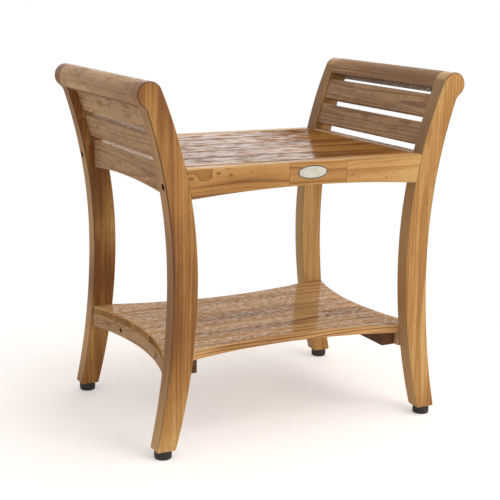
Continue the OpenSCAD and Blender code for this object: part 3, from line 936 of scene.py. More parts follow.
def figure_group() -> bpy.types.NodeTree:
    """The figure of teak in the log's own coordinates, along, across and through.

    Rings are bands of the distance from the wandering heart, which darken late in each year by the year's own
    strength. Fibres and pores are noise drawn out along the grain, and streaks follow the rings. Push moves
    the heart's distance, which bends the rings round a knot.

    Returns:
        The group.
    """
    w = Group(
        "teak_figure",
        {"Log": "Vector", "Ring Width": "Float", "Wander": "Float", "Push": "Float"},
        ("Rings", "Streaks", "Fibres", "Pores", "Broad", "Relief"),
    )
    log = w.get["Log"]
    sway = w.vector("SUBTRACT", w.noise(log, SWAY, "Color"), (0.5, 0.5, 0.5))
    along, across, through = w.split(w.vector("ADD", log, w.scale(sway, w.get["Wander"])))
    heart = w.math("SQRT", w.math("ADD", w.times(across, across), w.times(through, through)))
    heart = w.math("ADD", heart, w.get["Push"])
    years = w.math("DIVIDE", heart, w.get["Ring Width"])
    wires = {"W": years, "Scale": YEAR_CELLS, "Detail": 1.0}
    uneven = w.add("TexNoise", wires, noise_dimensions="1D").outputs[0]
    years = w.math("ADD", years, w.times(uneven, YEAR_SHIFT))
    season = w.math("FRACT", years)
    late = w.times(w.remap(season, *LATE_START), w.remap(season, *LATE_END))
    strength = w.add("TexWhiteNoise", {"W": w.math("FLOOR", years)}, noise_dimensions="1D").outputs[0]
    rings, fibres = w.times(late, w.line(strength, *YEAR_STRENGTH)), w.noise(log, FIBRES)
    pores = w.remap(w.noise(log, PORES), *PORE_RANGE)
    return w.give({
        "Rings": rings,
        "Streaks": w.noise(w.join(along, heart, across), STREAKS),
        "Fibres": fibres,
        "Pores": pores,
        "Broad": w.noise(log, BROAD),
        "Relief": w.line(pores, PORE_RELIEF, w.line(fibres, FIBRE_RELIEF, rings)),
    })


def tone_group() -> bpy.types.NodeTree:
    """How far the wood turns from dark to middle, and on to pale.

    Both are steps of one tone, a weighted sum of the figure's parts and the board's own tone. Strength is how
    strongly the figure shows.

    Returns:
        The group.
    """
    names = ("Rings", "Streaks", "Fibres", "Broad", "Board", "Strength")
    w = Group("teak_tone", dict.fromkeys(names, "Float"), ("Middle", "Pale"))
    rings, streaks, fibres, broad, board, strength = (w.get[name] for name in names)
    tone = w.times(broad, w.line(strength, *BROAD_TONE))
    tone = w.line(streaks, w.line(strength, *STREAK_TONE), tone)
    tone = w.line(fibres, FIBRE_TONE, tone)
    tone = w.line(w.times(rings, strength), RING_TONE, tone)
    tone = w.line(board, BOARD_TONE, tone)
    return w.give({"Middle": w.remap(tone, *MIDDLE_RANGE), "Pale": w.remap(tone, *PALE_RANGE)})


def age_group() -> bpy.types.NodeTree:
    """Weather and damp, as the shares of each colour, in ragged patches of the log.

    The weather has a share all over and one that grows by 1 - y squared as the face turns off the front and
    the back. It spares the boards of a darker tone.

    Returns:
        The group.
    """
    w = Group(
        "teak_age",
        {"Log": "Vector", "Facing": "Vector"} | dict.fromkeys(("Board", "All Over", "Rim", "Damp"), "Float"),
        ("Weathered", "Damp"),
    )
    across = w.split(w.get["Facing"])[1]
    rim = w.math("SUBTRACT", 1.0, w.times(across, across))
    share = w.line(rim, w.get["Rim"], w.get["All Over"])
    share = w.times(share, w.remap(w.noise(w.get["Log"], WEATHER), *WEATHER_RANGE, WEATHER_SHARES))
    share = w.times(share, w.remap(w.get["Board"], -1.0, 0.0, DARK_SHARES))
    damp = w.remap(w.noise(w.get["Log"], DAMP), *DAMP_RANGE, (0.0, w.get["Damp"]))
    return w.give({"Weathered": share, "Damp": damp})


def arris_light_group() -> bpy.types.NodeTree:
    """How pale arrises are, for wear and painted highlight, as the share of their pale colour, and below zero
    the share of painted shade.

    Returns:
        The group.
    """
    w = Group("arris_wear_light_shade", {"Arris": "Float", "Light": "Float"}, ("Pale", "Painted Shade"))
    pale, shade_share = (w.math(way, w.get["Arris"], 0.0) for way in ("MAXIMUM", "MINIMUM"))
    return w.give({"Pale": w.times(pale, w.get["Light"]), "Painted Shade": w.times(shade_share, PAINTED_SHADE_SHARE)})


def knot_group() -> bpy.types.NodeTree:
    """A knot: exp(-(d / r) squared / 3) of the way that it pushes the grain aside, and its dark core.

    Returns:
        The group.
    """
    w = Group("teak_knot", {"Place": "Vector", "Middle": "Vector", "Radius": "Float"}, ("Push", "Core"))
    place, radius = w.get["Place"], w.get["Radius"]
    away = w.vector("MULTIPLY", w.vector("SUBTRACT", place, w.get["Middle"]), KNOT_STRETCH)
    reach = w.math("DIVIDE", w.length(away), radius)
    push = w.math("EXPONENT", w.times(w.times(reach, reach), KNOT_FALL))
    ragged = w.math("ADD", reach, w.line(w.noise(place, KNOT_NOISE), *KNOT_RAGGED))
    return w.give({"Push": w.times(w.times(push, radius), KNOT_PUSH), "Core": w.remap(ragged, *KNOT_CORE)})


def beads_group() -> bpy.types.NodeTree:
    """Water beads: in some cells of a Voronoi pattern, domes like the square root of 1 - (d / r) squared.

    Returns:
        The group.
    """
    w = Group("water_beads", {"Place": "Vector", "Spacing": "Float", "Share": "Float"}, ("Height", "Mask"))
    size = w.math("DIVIDE", 1.0, w.get["Spacing"])
    cells = w.add("TexVoronoi", {"Vector": w.get["Place"], "Scale": size, "Randomness": SCATTER})
    pick, wide, _ = w.split(cells.outputs["Color"])
    crowd = w.noise(w.get["Place"], CROWD)
    share = w.times(w.get["Share"], w.remap(crowd, *CROWD_RANGE, CROWD_SHARES))
    radius = w.line(wide, *BEAD_RADII)
    reach = w.math("DIVIDE", cells.outputs["Distance"], radius)
    dome = w.math("SQRT", w.math("MAXIMUM", w.math("SUBTRACT", 1.0, w.times(reach, reach)), 0.0))
    chosen = w.math("LESS_THAN", pick, share)
    rim = w.remap(dome, 0.0, BEAD_RIM)
    return w.give({"Height": w.times(w.times(dome, radius), chosen), "Mask": w.times(rim, chosen)})


def film_group() -> bpy.types.NodeTree:
    """A film of water that lies on what faces up: its ripples, and a mask with ragged rims.

    Both are noise over the place, measured in patches. Cover is the share of the face that is wet.

    Returns:
        The group.
    """
    w = Group(
        "water_film",
        {"Place": "Vector", "Facing": "Vector", "Cover": "Float", "Patch": "Float"},
        ("Height", "Wet"),
    )
    place = w.scale(w.get["Place"], w.math("DIVIDE", 1.0, w.get["Patch"]))
    pools, ripple = w.noise(place, POOLS), w.noise(place, RIPPLES)
    rim = w.line(w.get["Cover"], *COVER_LINE)
    wet = w.remap(pools, w.math("SUBTRACT", rim, POOL_RIM), w.math("ADD", rim, POOL_RIM))
    wet = w.times(wet, w.remap(w.split(w.get["Facing"])[2], *LEVEL_RANGE))
    return w.give({"Height": w.times(w.math("ADD", ripple, pools), wet), "Wet": wet})


def marks_group() -> bpy.types.NodeTree:
    """Fine and coarse marks, both noise over the place: the fine ones' height, the sum of both, and patches.

    Returns:
        The group.
    """
    w = Group("fine_marks", {"Place": "Vector", "Cells": "Float"}, ("Height", "Sum", "Patches"))
    fine = w.noise(w.scale(w.get["Place"], w.get["Cells"]), FINE)
    coarse = w.noise(w.scale(w.get["Place"], w.times(w.get["Cells"], COARSE_CELLS)), COARSE)
    patches = w.remap(coarse, *COARSE_RANGE)
    return w.give({"Height": fine, "Sum": w.math("ADD", fine, coarse), "Patches": patches})


# Finishes


# Wood and its flaws
PORE_SHARE = 0.4
PORE_DIM = 0.45
MARK_DIM = 0.4
KNOT_DARK = 0.6
JOINT_DARK = 0.5
JOINT_SHIFT = (0.9, 0.012, 0.0)  # how far the log moves at a glued joint
JOINT_LINE = (0.0011, 0.0003)  # distances from a joint at which its line starts and is darkest
LAID_HEART = (0.03, 0.04)  # how far a laid piece's log has its heart left of the piece's origin, and under it
DAMP_DIM = 1.3
PAINTED_SHADE: Colour = (0.04, 0.015, 0.005)  # what painted shade and the dark arrises go towards

# Relief and water
GRAIN_HEIGHT = 0.0001
GRAIN_SUNK = 0.00005  # how much of that height water fills
ROUGH_SPAN = 0.25  # how much the fibres vary the roughness
ROUGH_DROP = 0.12
WET_ROUGH = 0.2
SOAK_DIM = 0.6
BEAD_SHINE = 0.35  # coat of a bead
BEAD_HEIGHT = 0.4  # height of a bead over its radius
FADE_REACH = 0.2  # distance to the right of the middle over which a film fades
COAT = {"Coat Roughness": 0.12, "Coat IOR": 1.33}  # water
MARK_ROUGH = 0.16  # how much the marks of a plain finish vary its roughness


@dataclass(frozen=True)
class Knot:
    """A knot in a board's face: its middle as x and z, and its radius."""

    x: float
    z: float
    radius: float


@dataclass(frozen=True)
class Water:
    """How wet a finish is.

    cover is the share of its top that a film covers, and fade how much less it covers at the right. shine is
    the film's coat, patch the size of its patches and ripple the height of its ripples. beads is the share of
    the cells, bead_gap wide, that hold a bead. soak tells how much wet wood darkens.
    """

    cover: float = 0.2
    fade: float = 0.0
    shine: float = 0.5
    patch: float = 0.02
    ripple: float = 0.0003
    beads: float = 0.05
    bead_gap: float = 0.006
    soak: float = 0.3


@dataclass(frozen=True)
class TeakFinish:
    """Teak: its slot, three colours from its pale to its dark figure, its weathered skin and its water.

    figure tells how strongly rings and streaks show. weather is the share of the weathered colour all over,
    and rim_weather the share on the edges of a board whose face looks to the front or the back. blotch is the
    share of its damp patches, and edge_light how much an arris pales, for wear and painted highlight. joints
    are the x of glued joints.
    laid tells a piece that has no log of its own, so that its grain runs along y.
    """

    slot: str
    pale: Colour
    middle: Colour
    dark: Colour
    figure: float = 1.0
    ring_width: float = 0.0046
    wander: float = 0.018
    rough: float = 0.45
    specular: float = 0.2
    weather: float = 0.0
    rim_weather: float = 0.0
    weathered: Colour = (0.42, 0.295, 0.19)
    blotch: float = 0.0
    edge_light: float = 0.25
    water: Water = Water()
    knots: tuple[Knot, ...] = ()
    joints: tuple[float, ...] = ()
    laid: bool = False

    def make(self, name: str, groups: Groups) -> bpy.types.Material:
        """Builds the material.

        Args:
            name: Its name.
            groups: The shared node groups.

        Returns:
            The material.
        """
        material, w = new_material(name)
        water = self.water
        place, facing, arris = w.place(), w.attribute("facing", "Vector"), w.attribute("arris", "Fac")
        if self.laid:
            x, y, z = w.split(place)
            log = w.join(y, w.math("ADD", x, LAID_HEART[0]), w.math("ADD", z, LAID_HEART[1]))
        else:
            log = w.attribute("log", "Vector")
        log, push, marks = self.flaws(w, groups, log, place)
        wires = {"Log": log, "Ring Width": self.ring_width, "Wander": self.wander, "Push": push}
        figure = w.group(groups["teak_figure"], wires)
        colour = w.blend(marks, self.wood(w, groups, figure, log, facing), dim(self.dark, MARK_DIM))
        cover = water.cover
        if water.fade:
            cover = w.remap(w.split(place)[0], 0.0, FADE_REACH, (cover, cover - water.fade))
        wires = {"Place": place, "Facing": facing, "Cover": cover, "Patch": water.patch}
        film = w.group(groups["water_film"], wires)
        wires = {"Place": place, "Spacing": water.bead_gap, "Share": water.beads}
        beads = w.group(groups["water_beads"], wires)
        wet = w.math("MAXIMUM", film["Wet"], beads["Mask"])
        shine = w.math("MAXIMUM", w.times(film["Wet"], water.shine), w.times(beads["Mask"], BEAD_SHINE))
        colour = w.blend(w.times(wet, water.soak), colour, dim(self.dark, SOAK_DIM))
        # arrises pale for wear and painted highlight; painted shade in hollows, under the arms and at the
        # shelf's ends
        arris_lightness = w.group(groups["arris_wear_light_shade"], {"Arris": arris, "Light": self.edge_light})
        colour = w.blend(arris_lightness["Painted Shade"], w.blend(arris_lightness["Pale"], colour, self.pale), PAINTED_SHADE)
        dry = w.line(figure["Fibres"], ROUGH_SPAN, self.rough - ROUGH_DROP)
        rough = w.math("ADD", w.times(dry, w.math("SUBTRACT", 1.0, wet)), w.times(wet, WET_ROUGH))
        height = w.times(figure["Relief"], w.line(wet, -GRAIN_SUNK, GRAIN_HEIGHT))
        height = w.line(film["Height"], water.ripple, height)
        height = w.line(beads["Height"], water.bead_gap * BEAD_HEIGHT, height)
        finish_material(w, height, {
            "Base Color": colour, "Roughness": rough, "Coat Weight": shine,
            "Specular IOR Level": self.specular, **COAT,
        })
        return material

    def flaws(self, w: Wiring, groups: Groups, log: Value, place: Value) -> tuple[Value, Value, Value]:
        """Knots and glued joints.

        Args:
            w: The material's wiring.
            groups: The shared node groups.
            log: The point's place in the log.
            place: The point's place on the piece.

        Returns:
            The place in the log, moved on at each joint, the knots' push, and the mask of all dark marks.
        """
        x = w.split(place)[0]
        push, marks = 0.0, 0.0
        for joint in self.joints:
            beyond = w.math("GREATER_THAN", x, joint)
            log = w.vector("ADD", log, w.scale(JOINT_SHIFT, beyond))
            away = w.math("ABSOLUTE", w.math("SUBTRACT", x, joint))
            marks = w.math("MAXIMUM", marks, w.remap(away, *JOINT_LINE, (0.0, JOINT_DARK)))
        for knot in self.knots:
            middle = (knot.x, 0.0, knot.z)
            found = w.group(groups["teak_knot"], {"Place": place, "Middle": middle, "Radius": knot.radius})
            push = w.math("ADD", push, found["Push"])
            marks = w.math("MAXIMUM", marks, w.times(found["Core"], KNOT_DARK))
        return log, push, marks

    def wood(
        self, w: Wiring, groups: Groups, figure: dict[str, Value], log: Value, facing: Value,
    ) -> Value:
        """The dry wood's colour: dark over middle to pale by its tone, with dark pores, weather and damp.

        Args:
            w: The material's wiring.
            groups: The shared node groups.
            figure: The outputs of the figure's group.
            log: The point's place in the log.
            facing: The surface's normal.

        Returns:
            The colour.
        """
        board = w.attribute("tone", "Fac")
        wires = {name: figure[name] for name in ("Rings", "Streaks", "Fibres", "Broad")}
        tone = w.group(groups["teak_tone"], wires | {"Board": board, "Strength": self.figure})
        colour = w.blend(tone["Middle"], self.dark, self.middle)
        colour = w.blend(tone["Pale"], colour, self.pale)
        colour = w.blend(w.times(figure["Pores"], PORE_SHARE), colour, dim(self.dark, PORE_DIM))
        if self.weather or self.rim_weather or self.blotch:
            wires = {"Log": log, "Facing": facing, "Board": board}
            wires |= {"All Over": self.weather, "Rim": self.rim_weather, "Damp": self.blotch}
            age = w.group(groups["teak_age"], wires)
            colour = w.blend(age["Weathered"], colour, self.weathered)
            colour = w.blend(age["Damp"], colour, dim(self.dark, DAMP_DIM))
        return colour


@dataclass(frozen=True)
class PlainFinish:
    """Rubber, metal or dowel wood: its slot, a colour, its shine, and fine marks that break both.

    grain is how many fine marks lie in a metre, and bump their height.
    """

    slot: str
    colour: Colour
    marks: Colour
    metallic: float = 0.0
    rough: float = 0.5
    grain: float = 1400.0
    bump: float = 0.00001

    def make(self, name: str, groups: Groups) -> bpy.types.Material:
        """Builds the material.

        Args:
            name: Its name.
            groups: The shared node groups.

        Returns:
            The material.
        """
        material, w = new_material(name)
        marks = w.group(groups["fine_marks"], {"Place": w.place(), "Cells": self.grain})
        colour = w.blend(marks["Patches"], self.colour, self.marks)
        rough = w.line(marks["Sum"], MARK_ROUGH, self.rough - MARK_ROUGH)
        inputs = {"Base Color": colour, "Roughness": rough, "Metallic": self.metallic}
        finish_material(w, w.times(marks["Height"], self.bump), inputs)
        return material


def new_material(name: str) -> tuple[bpy.types.Material, Wiring]:
    """Starts a material.

    Args:
        name: Its name.

    Returns:
        The empty material and its wiring.
    """
    material = bpy.data.materials.new(name)
    material.use_nodes = True
    material.node_tree.nodes.clear()
    return material, Wiring(material.node_tree)


def finish_material(w: Wiring, height: Value, inputs: dict[str | int, Value]) -> None:
    """Ends a material with a Principled shader.

    Args:
        w: The material's wiring.
        height: The height of its relief, in metres.
        inputs: The shader's other inputs.
    """
    bump = w.add("Bump", {"Height": height, "Strength": 1.0, "Distance": 1.0}).outputs[0]
    shader = w.add("BsdfPrincipled", inputs | {"Normal": bump})
    w.add("OutputMaterial", {"Surface": shader.outputs[0]})


class Finishes:
    """Every material of the bench, made when a piece first asks for it.

    A palette is a wood's pale, middle and dark colour. The shelf's palette is painted paler, as light on the
    shelf under the seat, and the palette of the parts under the seat darker, as their shade.
    """

    GOLD: tuple[Colour, ...] = ((0.57, 0.36, 0.14), (0.41, 0.213, 0.065), (0.20, 0.08, 0.024))
    TAN: tuple[Colour, ...] = ((0.62, 0.41, 0.23), (0.47, 0.29, 0.155), (0.20, 0.105, 0.05))
    BROWN: tuple[Colour, ...] = ((0.37, 0.19, 0.06), (0.25, 0.11, 0.029), (0.10, 0.04, 0.011))
    # paler than the legs' teak: painted light on the shelf in the seat's shade
    LIT_HONEY: tuple[Colour, ...] = ((0.72, 0.46, 0.22), (0.61, 0.365, 0.165), (0.25, 0.12, 0.05))
    # darkened: painted shade on the battens and cleats under the seat
    SHADED_UMBER: tuple[Colour, ...] = ((0.17, 0.085, 0.038), (0.11, 0.052, 0.022), (0.05, 0.023, 0.009))
    # the arms' arrises pale strongly, for wear and painted highlight
    ARM: TeakFinish = TeakFinish(
        "teak_side", *TAN, rough=0.6, specular=0.1, weather=0.4, weathered=(0.41, 0.315, 0.24),
        edge_light=0.8, blotch=0.7,
        water=Water(cover=-1.0, patch=0.012, ripple=0.0001, beads=0.75, bead_gap=0.0038, soak=0.6),
    )
    SHELF: dict[str, TeakFinish | PlainFinish] = {
        "teak_leg": TeakFinish("teak_front", *GOLD, figure=0.6, rim_weather=0.5, water=Water(beads=0.02)),
        "teak_apron": TeakFinish("teak_front", *GOLD, water=Water(beads=0.02)),
        "teak_apron_shown": TeakFinish(
            "teak_front", *GOLD, water=Water(beads=0.03), joints=(-0.038, 0.071),
            knots=(Knot(-0.2145, 0.468, 0.004), Knot(-0.1676, 0.474, 0.0035), Knot(-0.146, 0.470, 0.003)),
        ),
        "teak_arm": ARM,
        "teak_stretcher": replace(ARM, water=Water(cover=-1.0, beads=0.04, bead_gap=0.0038)),
        "teak_seat": TeakFinish(
            "teak_wet_slats", *BROWN, rough=0.5, specular=0.0, edge_light=0.05,
            water=Water(cover=0.6, fade=0.35, shine=0.64, patch=0.022, ripple=0.0001, beads=0.0, soak=0.0),
        ),
        "teak_shelf": TeakFinish(
            "teak_wet_slats", *LIT_HONEY, rough=0.5, specular=0.0, edge_light=0.4, water=Water(
                cover=0.4, shine=0.8, patch=0.006, ripple=0.0001, beads=0.1, bead_gap=0.004, soak=0.0,
            ),
        ),
        "teak_under": TeakFinish("teak_under", *SHADED_UMBER, laid=True),
        "foot_rubber": PlainFinish(
            "foot_rubber", (0.012, 0.012, 0.013), (0.02, 0.02, 0.021), rough=0.5, grain=900.0, bump=0.00004,
        ),
        "steel": PlainFinish(
            "steel_hardware", (0.58, 0.59, 0.60), (0.50, 0.51, 0.52), metallic=1.0, rough=0.34,
        ),
        "brass": PlainFinish(
            "brass_hardware", (0.70, 0.50, 0.20), (0.60, 0.41, 0.15), metallic=1.0, rough=0.36,
        ),
        "plate_rim": PlainFinish(
            "steel_hardware", (0.05, 0.053, 0.056), (0.09, 0.093, 0.096), metallic=0.3, rough=0.5,
        ),
        "plate_face": PlainFinish(
            "steel_hardware", (0.60, 0.60, 0.53), (0.50, 0.51, 0.47), metallic=0.2, rough=0.42,
        ),
        "dowel_wood": PlainFinish(
            "dowel_wood", (0.62, 0.45, 0.26), (0.50, 0.34, 0.18), rough=0.62, grain=700.0, bump=0.00006,
        ),
    }

    def __init__(self) -> None:
        """Builds the shared node groups."""
        makers = (
            figure_group, tone_group, age_group, arris_light_group, knot_group, beads_group, film_group, marks_group,
        )
        self.groups = {tree.name: tree for tree in (make() for make in makers)}
        self.made: dict[str, bpy.types.Material] = {}

    def dress(self, piece: Piece, name: str) -> None:
        """Gives a piece one finish all over.

        Args:
            piece: The piece.
            name: The finish's name.
        """
        if name not in self.made:
            self.made[name] = self.SHELF[name].make(name, self.groups)
        piece.data.materials.clear()
        piece.data.materials.append(self.made[name])


# The bench


def arc_radius(run: float, sweep: float) -> float:
    """Radius of the arc that stands upright at its start and runs out by sweep over the height run."""
    return (run * run + sweep * sweep) / (2 * sweep)


@dataclass
class LegCurve:
    """The outline that the legs and the arm rails share, at the side of +X.

    Each edge of a leg is two arcs that meet upright at the waist. The inner edge runs into the scroll head's
    circle, and the hollow of the neck touches the head and the outer edge.
    """

    width: float
    height: float
    foot_h: float = 0.015
    waist_z: float = 0.300
    waist_w: float = 0.043
    head_sweep: float = 0.082
    outer_sweep: float = 0.053
    foot_sweep_in: float = 0.039
    foot_sweep_out: float = 0.031
    head_r: float = 0.021
    neck_r: float = 0.022

    def __post_init__(self) -> None:
        """Works out the head, the edges' points at the waist, the arcs' centres and where they touch.

        The inner edge's upper arc passes round the head and touches it. The neck's centre stands one radius
        off the head's circle and one inside the outer arc, which the law of cosines gives.
        """
        self.head = complex(self.width / 2 - self.head_r, self.height - self.head_r)
        self.inner = complex(self.head.real - self.head_sweep, self.waist_z)
        self.outer = self.inner + self.waist_w
        self.rise = self.head.imag - self.waist_z
        fall = self.waist_z - self.foot_h
        squares = self.head_sweep**2 + self.rise**2 - self.head_r**2
        self.inner_up = self.inner + squares / (2 * (self.head_sweep - self.head_r))
        self.outer_up = self.outer + arc_radius(self.rise, self.outer_sweep)
        self.inner_low = self.inner + arc_radius(fall, self.foot_sweep_in)
        self.outer_low = self.outer + arc_radius(fall, self.foot_sweep_out)
        self.inner_r = abs(self.inner_up - self.inner)
        outer_r = abs(self.outer_up - self.outer)
        near, far, span = self.head_r + self.neck_r, outer_r - self.neck_r, abs(self.outer_up - self.head)
        turn = math.acos((near**2 + span**2 - far**2) / (2 * near * span))
        way = (self.outer_up - self.head) / span
        self.neck = self.head + near * way * complex(math.cos(turn), -math.sin(turn))
        self.neck_head = self.head + self.head_r * (self.neck - self.head) / abs(self.neck - self.head)
        neck_way = self.neck - self.outer_up
        self.neck_root = self.outer_up + outer_r * neck_way / abs(neck_way)
        head_way = self.head - self.inner_up
        self.head_touch = self.inner_up + self.inner_r * head_way / abs(head_way)

    def edge(self, z: float, outside: bool) -> complex:
        """A point of the outer or the inner edge.

        Args:
            z: Its height.
            outside: Whether it is on the outer edge.

        Returns:
            The point.
        """
        start = self.outer if outside else self.inner
        if z > self.waist_z:
            centre = self.outer_up if outside else self.inner_up
        else:
            centre = self.outer_low if outside else self.inner_low
        radius = abs(centre - start)
        return complex(centre.real - math.sqrt(radius**2 - (z - self.waist_z) ** 2), z)

    def foot_x(self) -> float:
        """The x of a levelling foot, midway between the edges at the bottom."""
        return (self.edge(self.foot_h, False).real + self.edge(self.foot_h, True).real) / 2


@dataclass
class Legs:
    """The four legs, each with the leg's curve and two holes: for the frame bolt and for the foot's insert.

    contour is how dark the arrises round the outer edge and the head are, and arm_shade how much painted
    shade darkens the inner edge between the bolt and the head. tones are each leg's, from its foot to its
    head, and paint shade and light as well as the wood's own tone.
    """

    curve: LegCurve
    depth: float
    thickness: float = 0.030
    foot_ease: float = 0.0014
    bolt_z: float = 0.456
    bolt_mouth_r: float = 0.0055
    bolt_seat: float = 0.014
    apron_t: float = 0.022
    insert_r: float = 0.00605
    insert_l: float = 0.0141
    contour: float = -0.9
    arm_shade: float = 0.5
    tones: dict[str, tuple[float, ...]] = field(default_factory=lambda: {
        "front_left": (0.9, -0.15, -0.75, -0.6, -0.25, -0.2, -0.75),
        "rear_left": (-0.6, 0.3, -1.2, 0.4, -0.4, -1.0, -1.2),
        "front_right": (0.1, 0.35, 0.15, 0.45, 0.55, 0.45, 0.4),
        "rear_right": (0.2, 0.35, 0.55, 0.65, 0.3, -0.35, -0.35),
    })

    def edges(self) -> list[Edge]:
        """The outline of a leg.

        Returns:
            Its edges, anticlockwise from its outer bottom corner.
        """
        c = self.curve
        bolt_floor = c.edge(self.bolt_z, True).real - self.bolt_seat
        bolt = Port(self.bolt_z, -(self.depth - self.apron_t) / 2, self.bolt_mouth_r, bolt_floor)
        foot_level = -(self.depth - self.thickness) / 2
        foot = Port(c.foot_x(), foot_level, self.insert_r, c.foot_h + self.insert_l, along_u=False)
        return [
            Edge(c.outer, c.outer_low, hollow=True, arris_lightness=self.contour / 2),
            Edge(c.neck_root, c.outer_up, hollow=True, arris_lightness=self.contour, ports=(bolt,)),
            Edge(c.neck_head, c.neck, hollow=True, arris_lightness=self.contour),
            Edge(c.head_touch, c.head, arris_lightness=self.contour),
            # painted shade on the inner edge under the arm
            Edge(c.edge(self.bolt_z, False), c.inner_up, painted_shade=self.arm_shade),
            Edge(c.inner, c.inner_up),
            Edge(c.edge(c.foot_h, False), c.inner_low),
            Edge(c.edge(c.foot_h, True), ease=self.foot_ease, ports=(foot,)),
        ]

    def build(self, shop: Workshop) -> None:
        """Makes the four legs.

        Args:
            shop: Where they are made.
        """
        low = -self.depth / 2
        for side, x_sign in SIDES.items():
            for face, y_sign in FACES.items():
                Board(
                    f"leg_{face}_{side}", self.edges(), Plane.FRONT, low, low + self.thickness, Grain.UPRIGHT,
                    "teak_leg", x_sign, -y_sign, tones=self.tones[f"{face}_{side}"],
                    crisp_above=self.curve.neck_root.imag,
                ).build(shop)


@dataclass
class Arms:
    """The arm rails, cut from the leg's curve, and the tilted slats under them.

    slat_spread is how much each long edge of a slat stands past its share of the arc. shade is how much
    painted shade darkens the wood where the rail and the slats face each other. The tones are each side's,
    the lower slat's first, and paint shade and light as well as the wood's own tone.
    """

    curve: LegCurve
    inside_y: float
    seat_z: float
    rail_drop: float = 0.0155
    rail_ease: float = 0.0012
    gap: float = 0.01125
    slat_t: float = 0.018
    slat_inset: float = 0.004
    slat_spread: float = 0.0008
    slat_corner: float = 0.0026
    slat_names: tuple[str, ...] = ("lower", "upper")
    shade: float = 0.7
    rail_tones: dict[str, float] = field(default_factory=lambda: {"left": 0.2, "right": -0.6})
    slat_tones: dict[str, tuple[float, ...]] = field(
        default_factory=lambda: {"left": (0.0, 0.4), "right": (-0.1, -0.15)}
    )

    def __post_init__(self) -> None:
        """Works out the angles about the centre of the inner edge's upper arc."""
        c = self.curve
        head_tilt = math.asin(c.rise / (c.inner_r - c.head_r))
        self.rail_tilt = head_tilt - self.rail_drop / (c.inner_r - c.head_r)
        self.slat_r = c.inner_r - self.slat_inset - self.slat_t / 2
        self.seat_tilt = math.asin((self.seat_z - c.waist_z) / self.slat_r)
        run = self.slat_r * (self.rail_tilt - self.seat_tilt)
        count = len(self.slat_names)
        self.slat_w = (run - (count + 1) * self.gap) / count

    def rail_edges(self) -> list[Edge]:
        """The rail's section: the part of the leg's curve above a line through the inner arc's centre.

        Returns:
            Its edges, from the neck over the head and the inner arc to the line.
        """
        c = self.curve
        way = complex(-math.cos(self.rail_tilt), math.sin(self.rail_tilt))
        across = (c.neck - c.inner_up) / way
        under_neck = c.inner_up + way * (across.real + math.sqrt(c.neck_r**2 - across.imag**2))
        # painted shade on the neck and the underside, over the upper slat
        return [
            Edge(c.neck_head, c.neck, hollow=True, ease=CRISP, painted_shade=self.shade),
            Edge(c.head_touch, c.head, ease=CRISP),
            Edge(c.inner_up + c.inner_r * way, c.inner_up, ease=CRISP),
            Edge(under_neck, ease=self.rail_ease, painted_shade=self.shade),
        ]

    def slat_edges(self, index: int) -> list[Edge]:
        """The section of a slat, leaning on the inner arc.

        Its lower long edge carries painted shade, and under the rail the upper one too, which fades over the
        outer face.

        Args:
            index: Its number, from 0 for the lower slat.

        Returns:
            Its edges: 2 is the upper long edge, 6 the lower one, and 1 the corner above the outer face.
        """
        step = (self.slat_w + self.gap) / self.slat_r
        tilt = self.seat_tilt + (self.gap + self.slat_w / 2) / self.slat_r + index * step
        middle = self.curve.inner_up + self.slat_r * complex(-math.cos(tilt), math.sin(tilt))
        size = (self.slat_t, self.slat_w + 2 * self.slat_spread)
        under_rail = index == len(self.slat_names) - 1
        shares = {1: 0.3, 2: 1.0, 6: 1.0} if under_rail else {6: 1.0}
        return [
            replace(edge, ease=CRISP, painted_shade=self.shade * shares.get(i, 0.0))
            for i, edge in enumerate(rounded_box(middle, size, self.slat_corner, -tilt))
        ]

    def build(self, shop: Workshop) -> None:
        """Makes both rails and all slats.

        Args:
            shop: Where they are made.
        """
        span = (Plane.FRONT, -self.inside_y, self.inside_y, Grain.DEEP, "teak_arm")
        for side, x_sign in SIDES.items():
            parts = [("rail", self.rail_edges(), self.rail_tones[side])]
            for index, name in enumerate(self.slat_names):
                parts.append((f"slat_{name}", self.slat_edges(index), self.slat_tones[side][index]))
            for name, edges, tone in parts:
                Board(f"arm_{name}_{side}", edges, *span, x_sign, tones=(tone,)).build(shop)


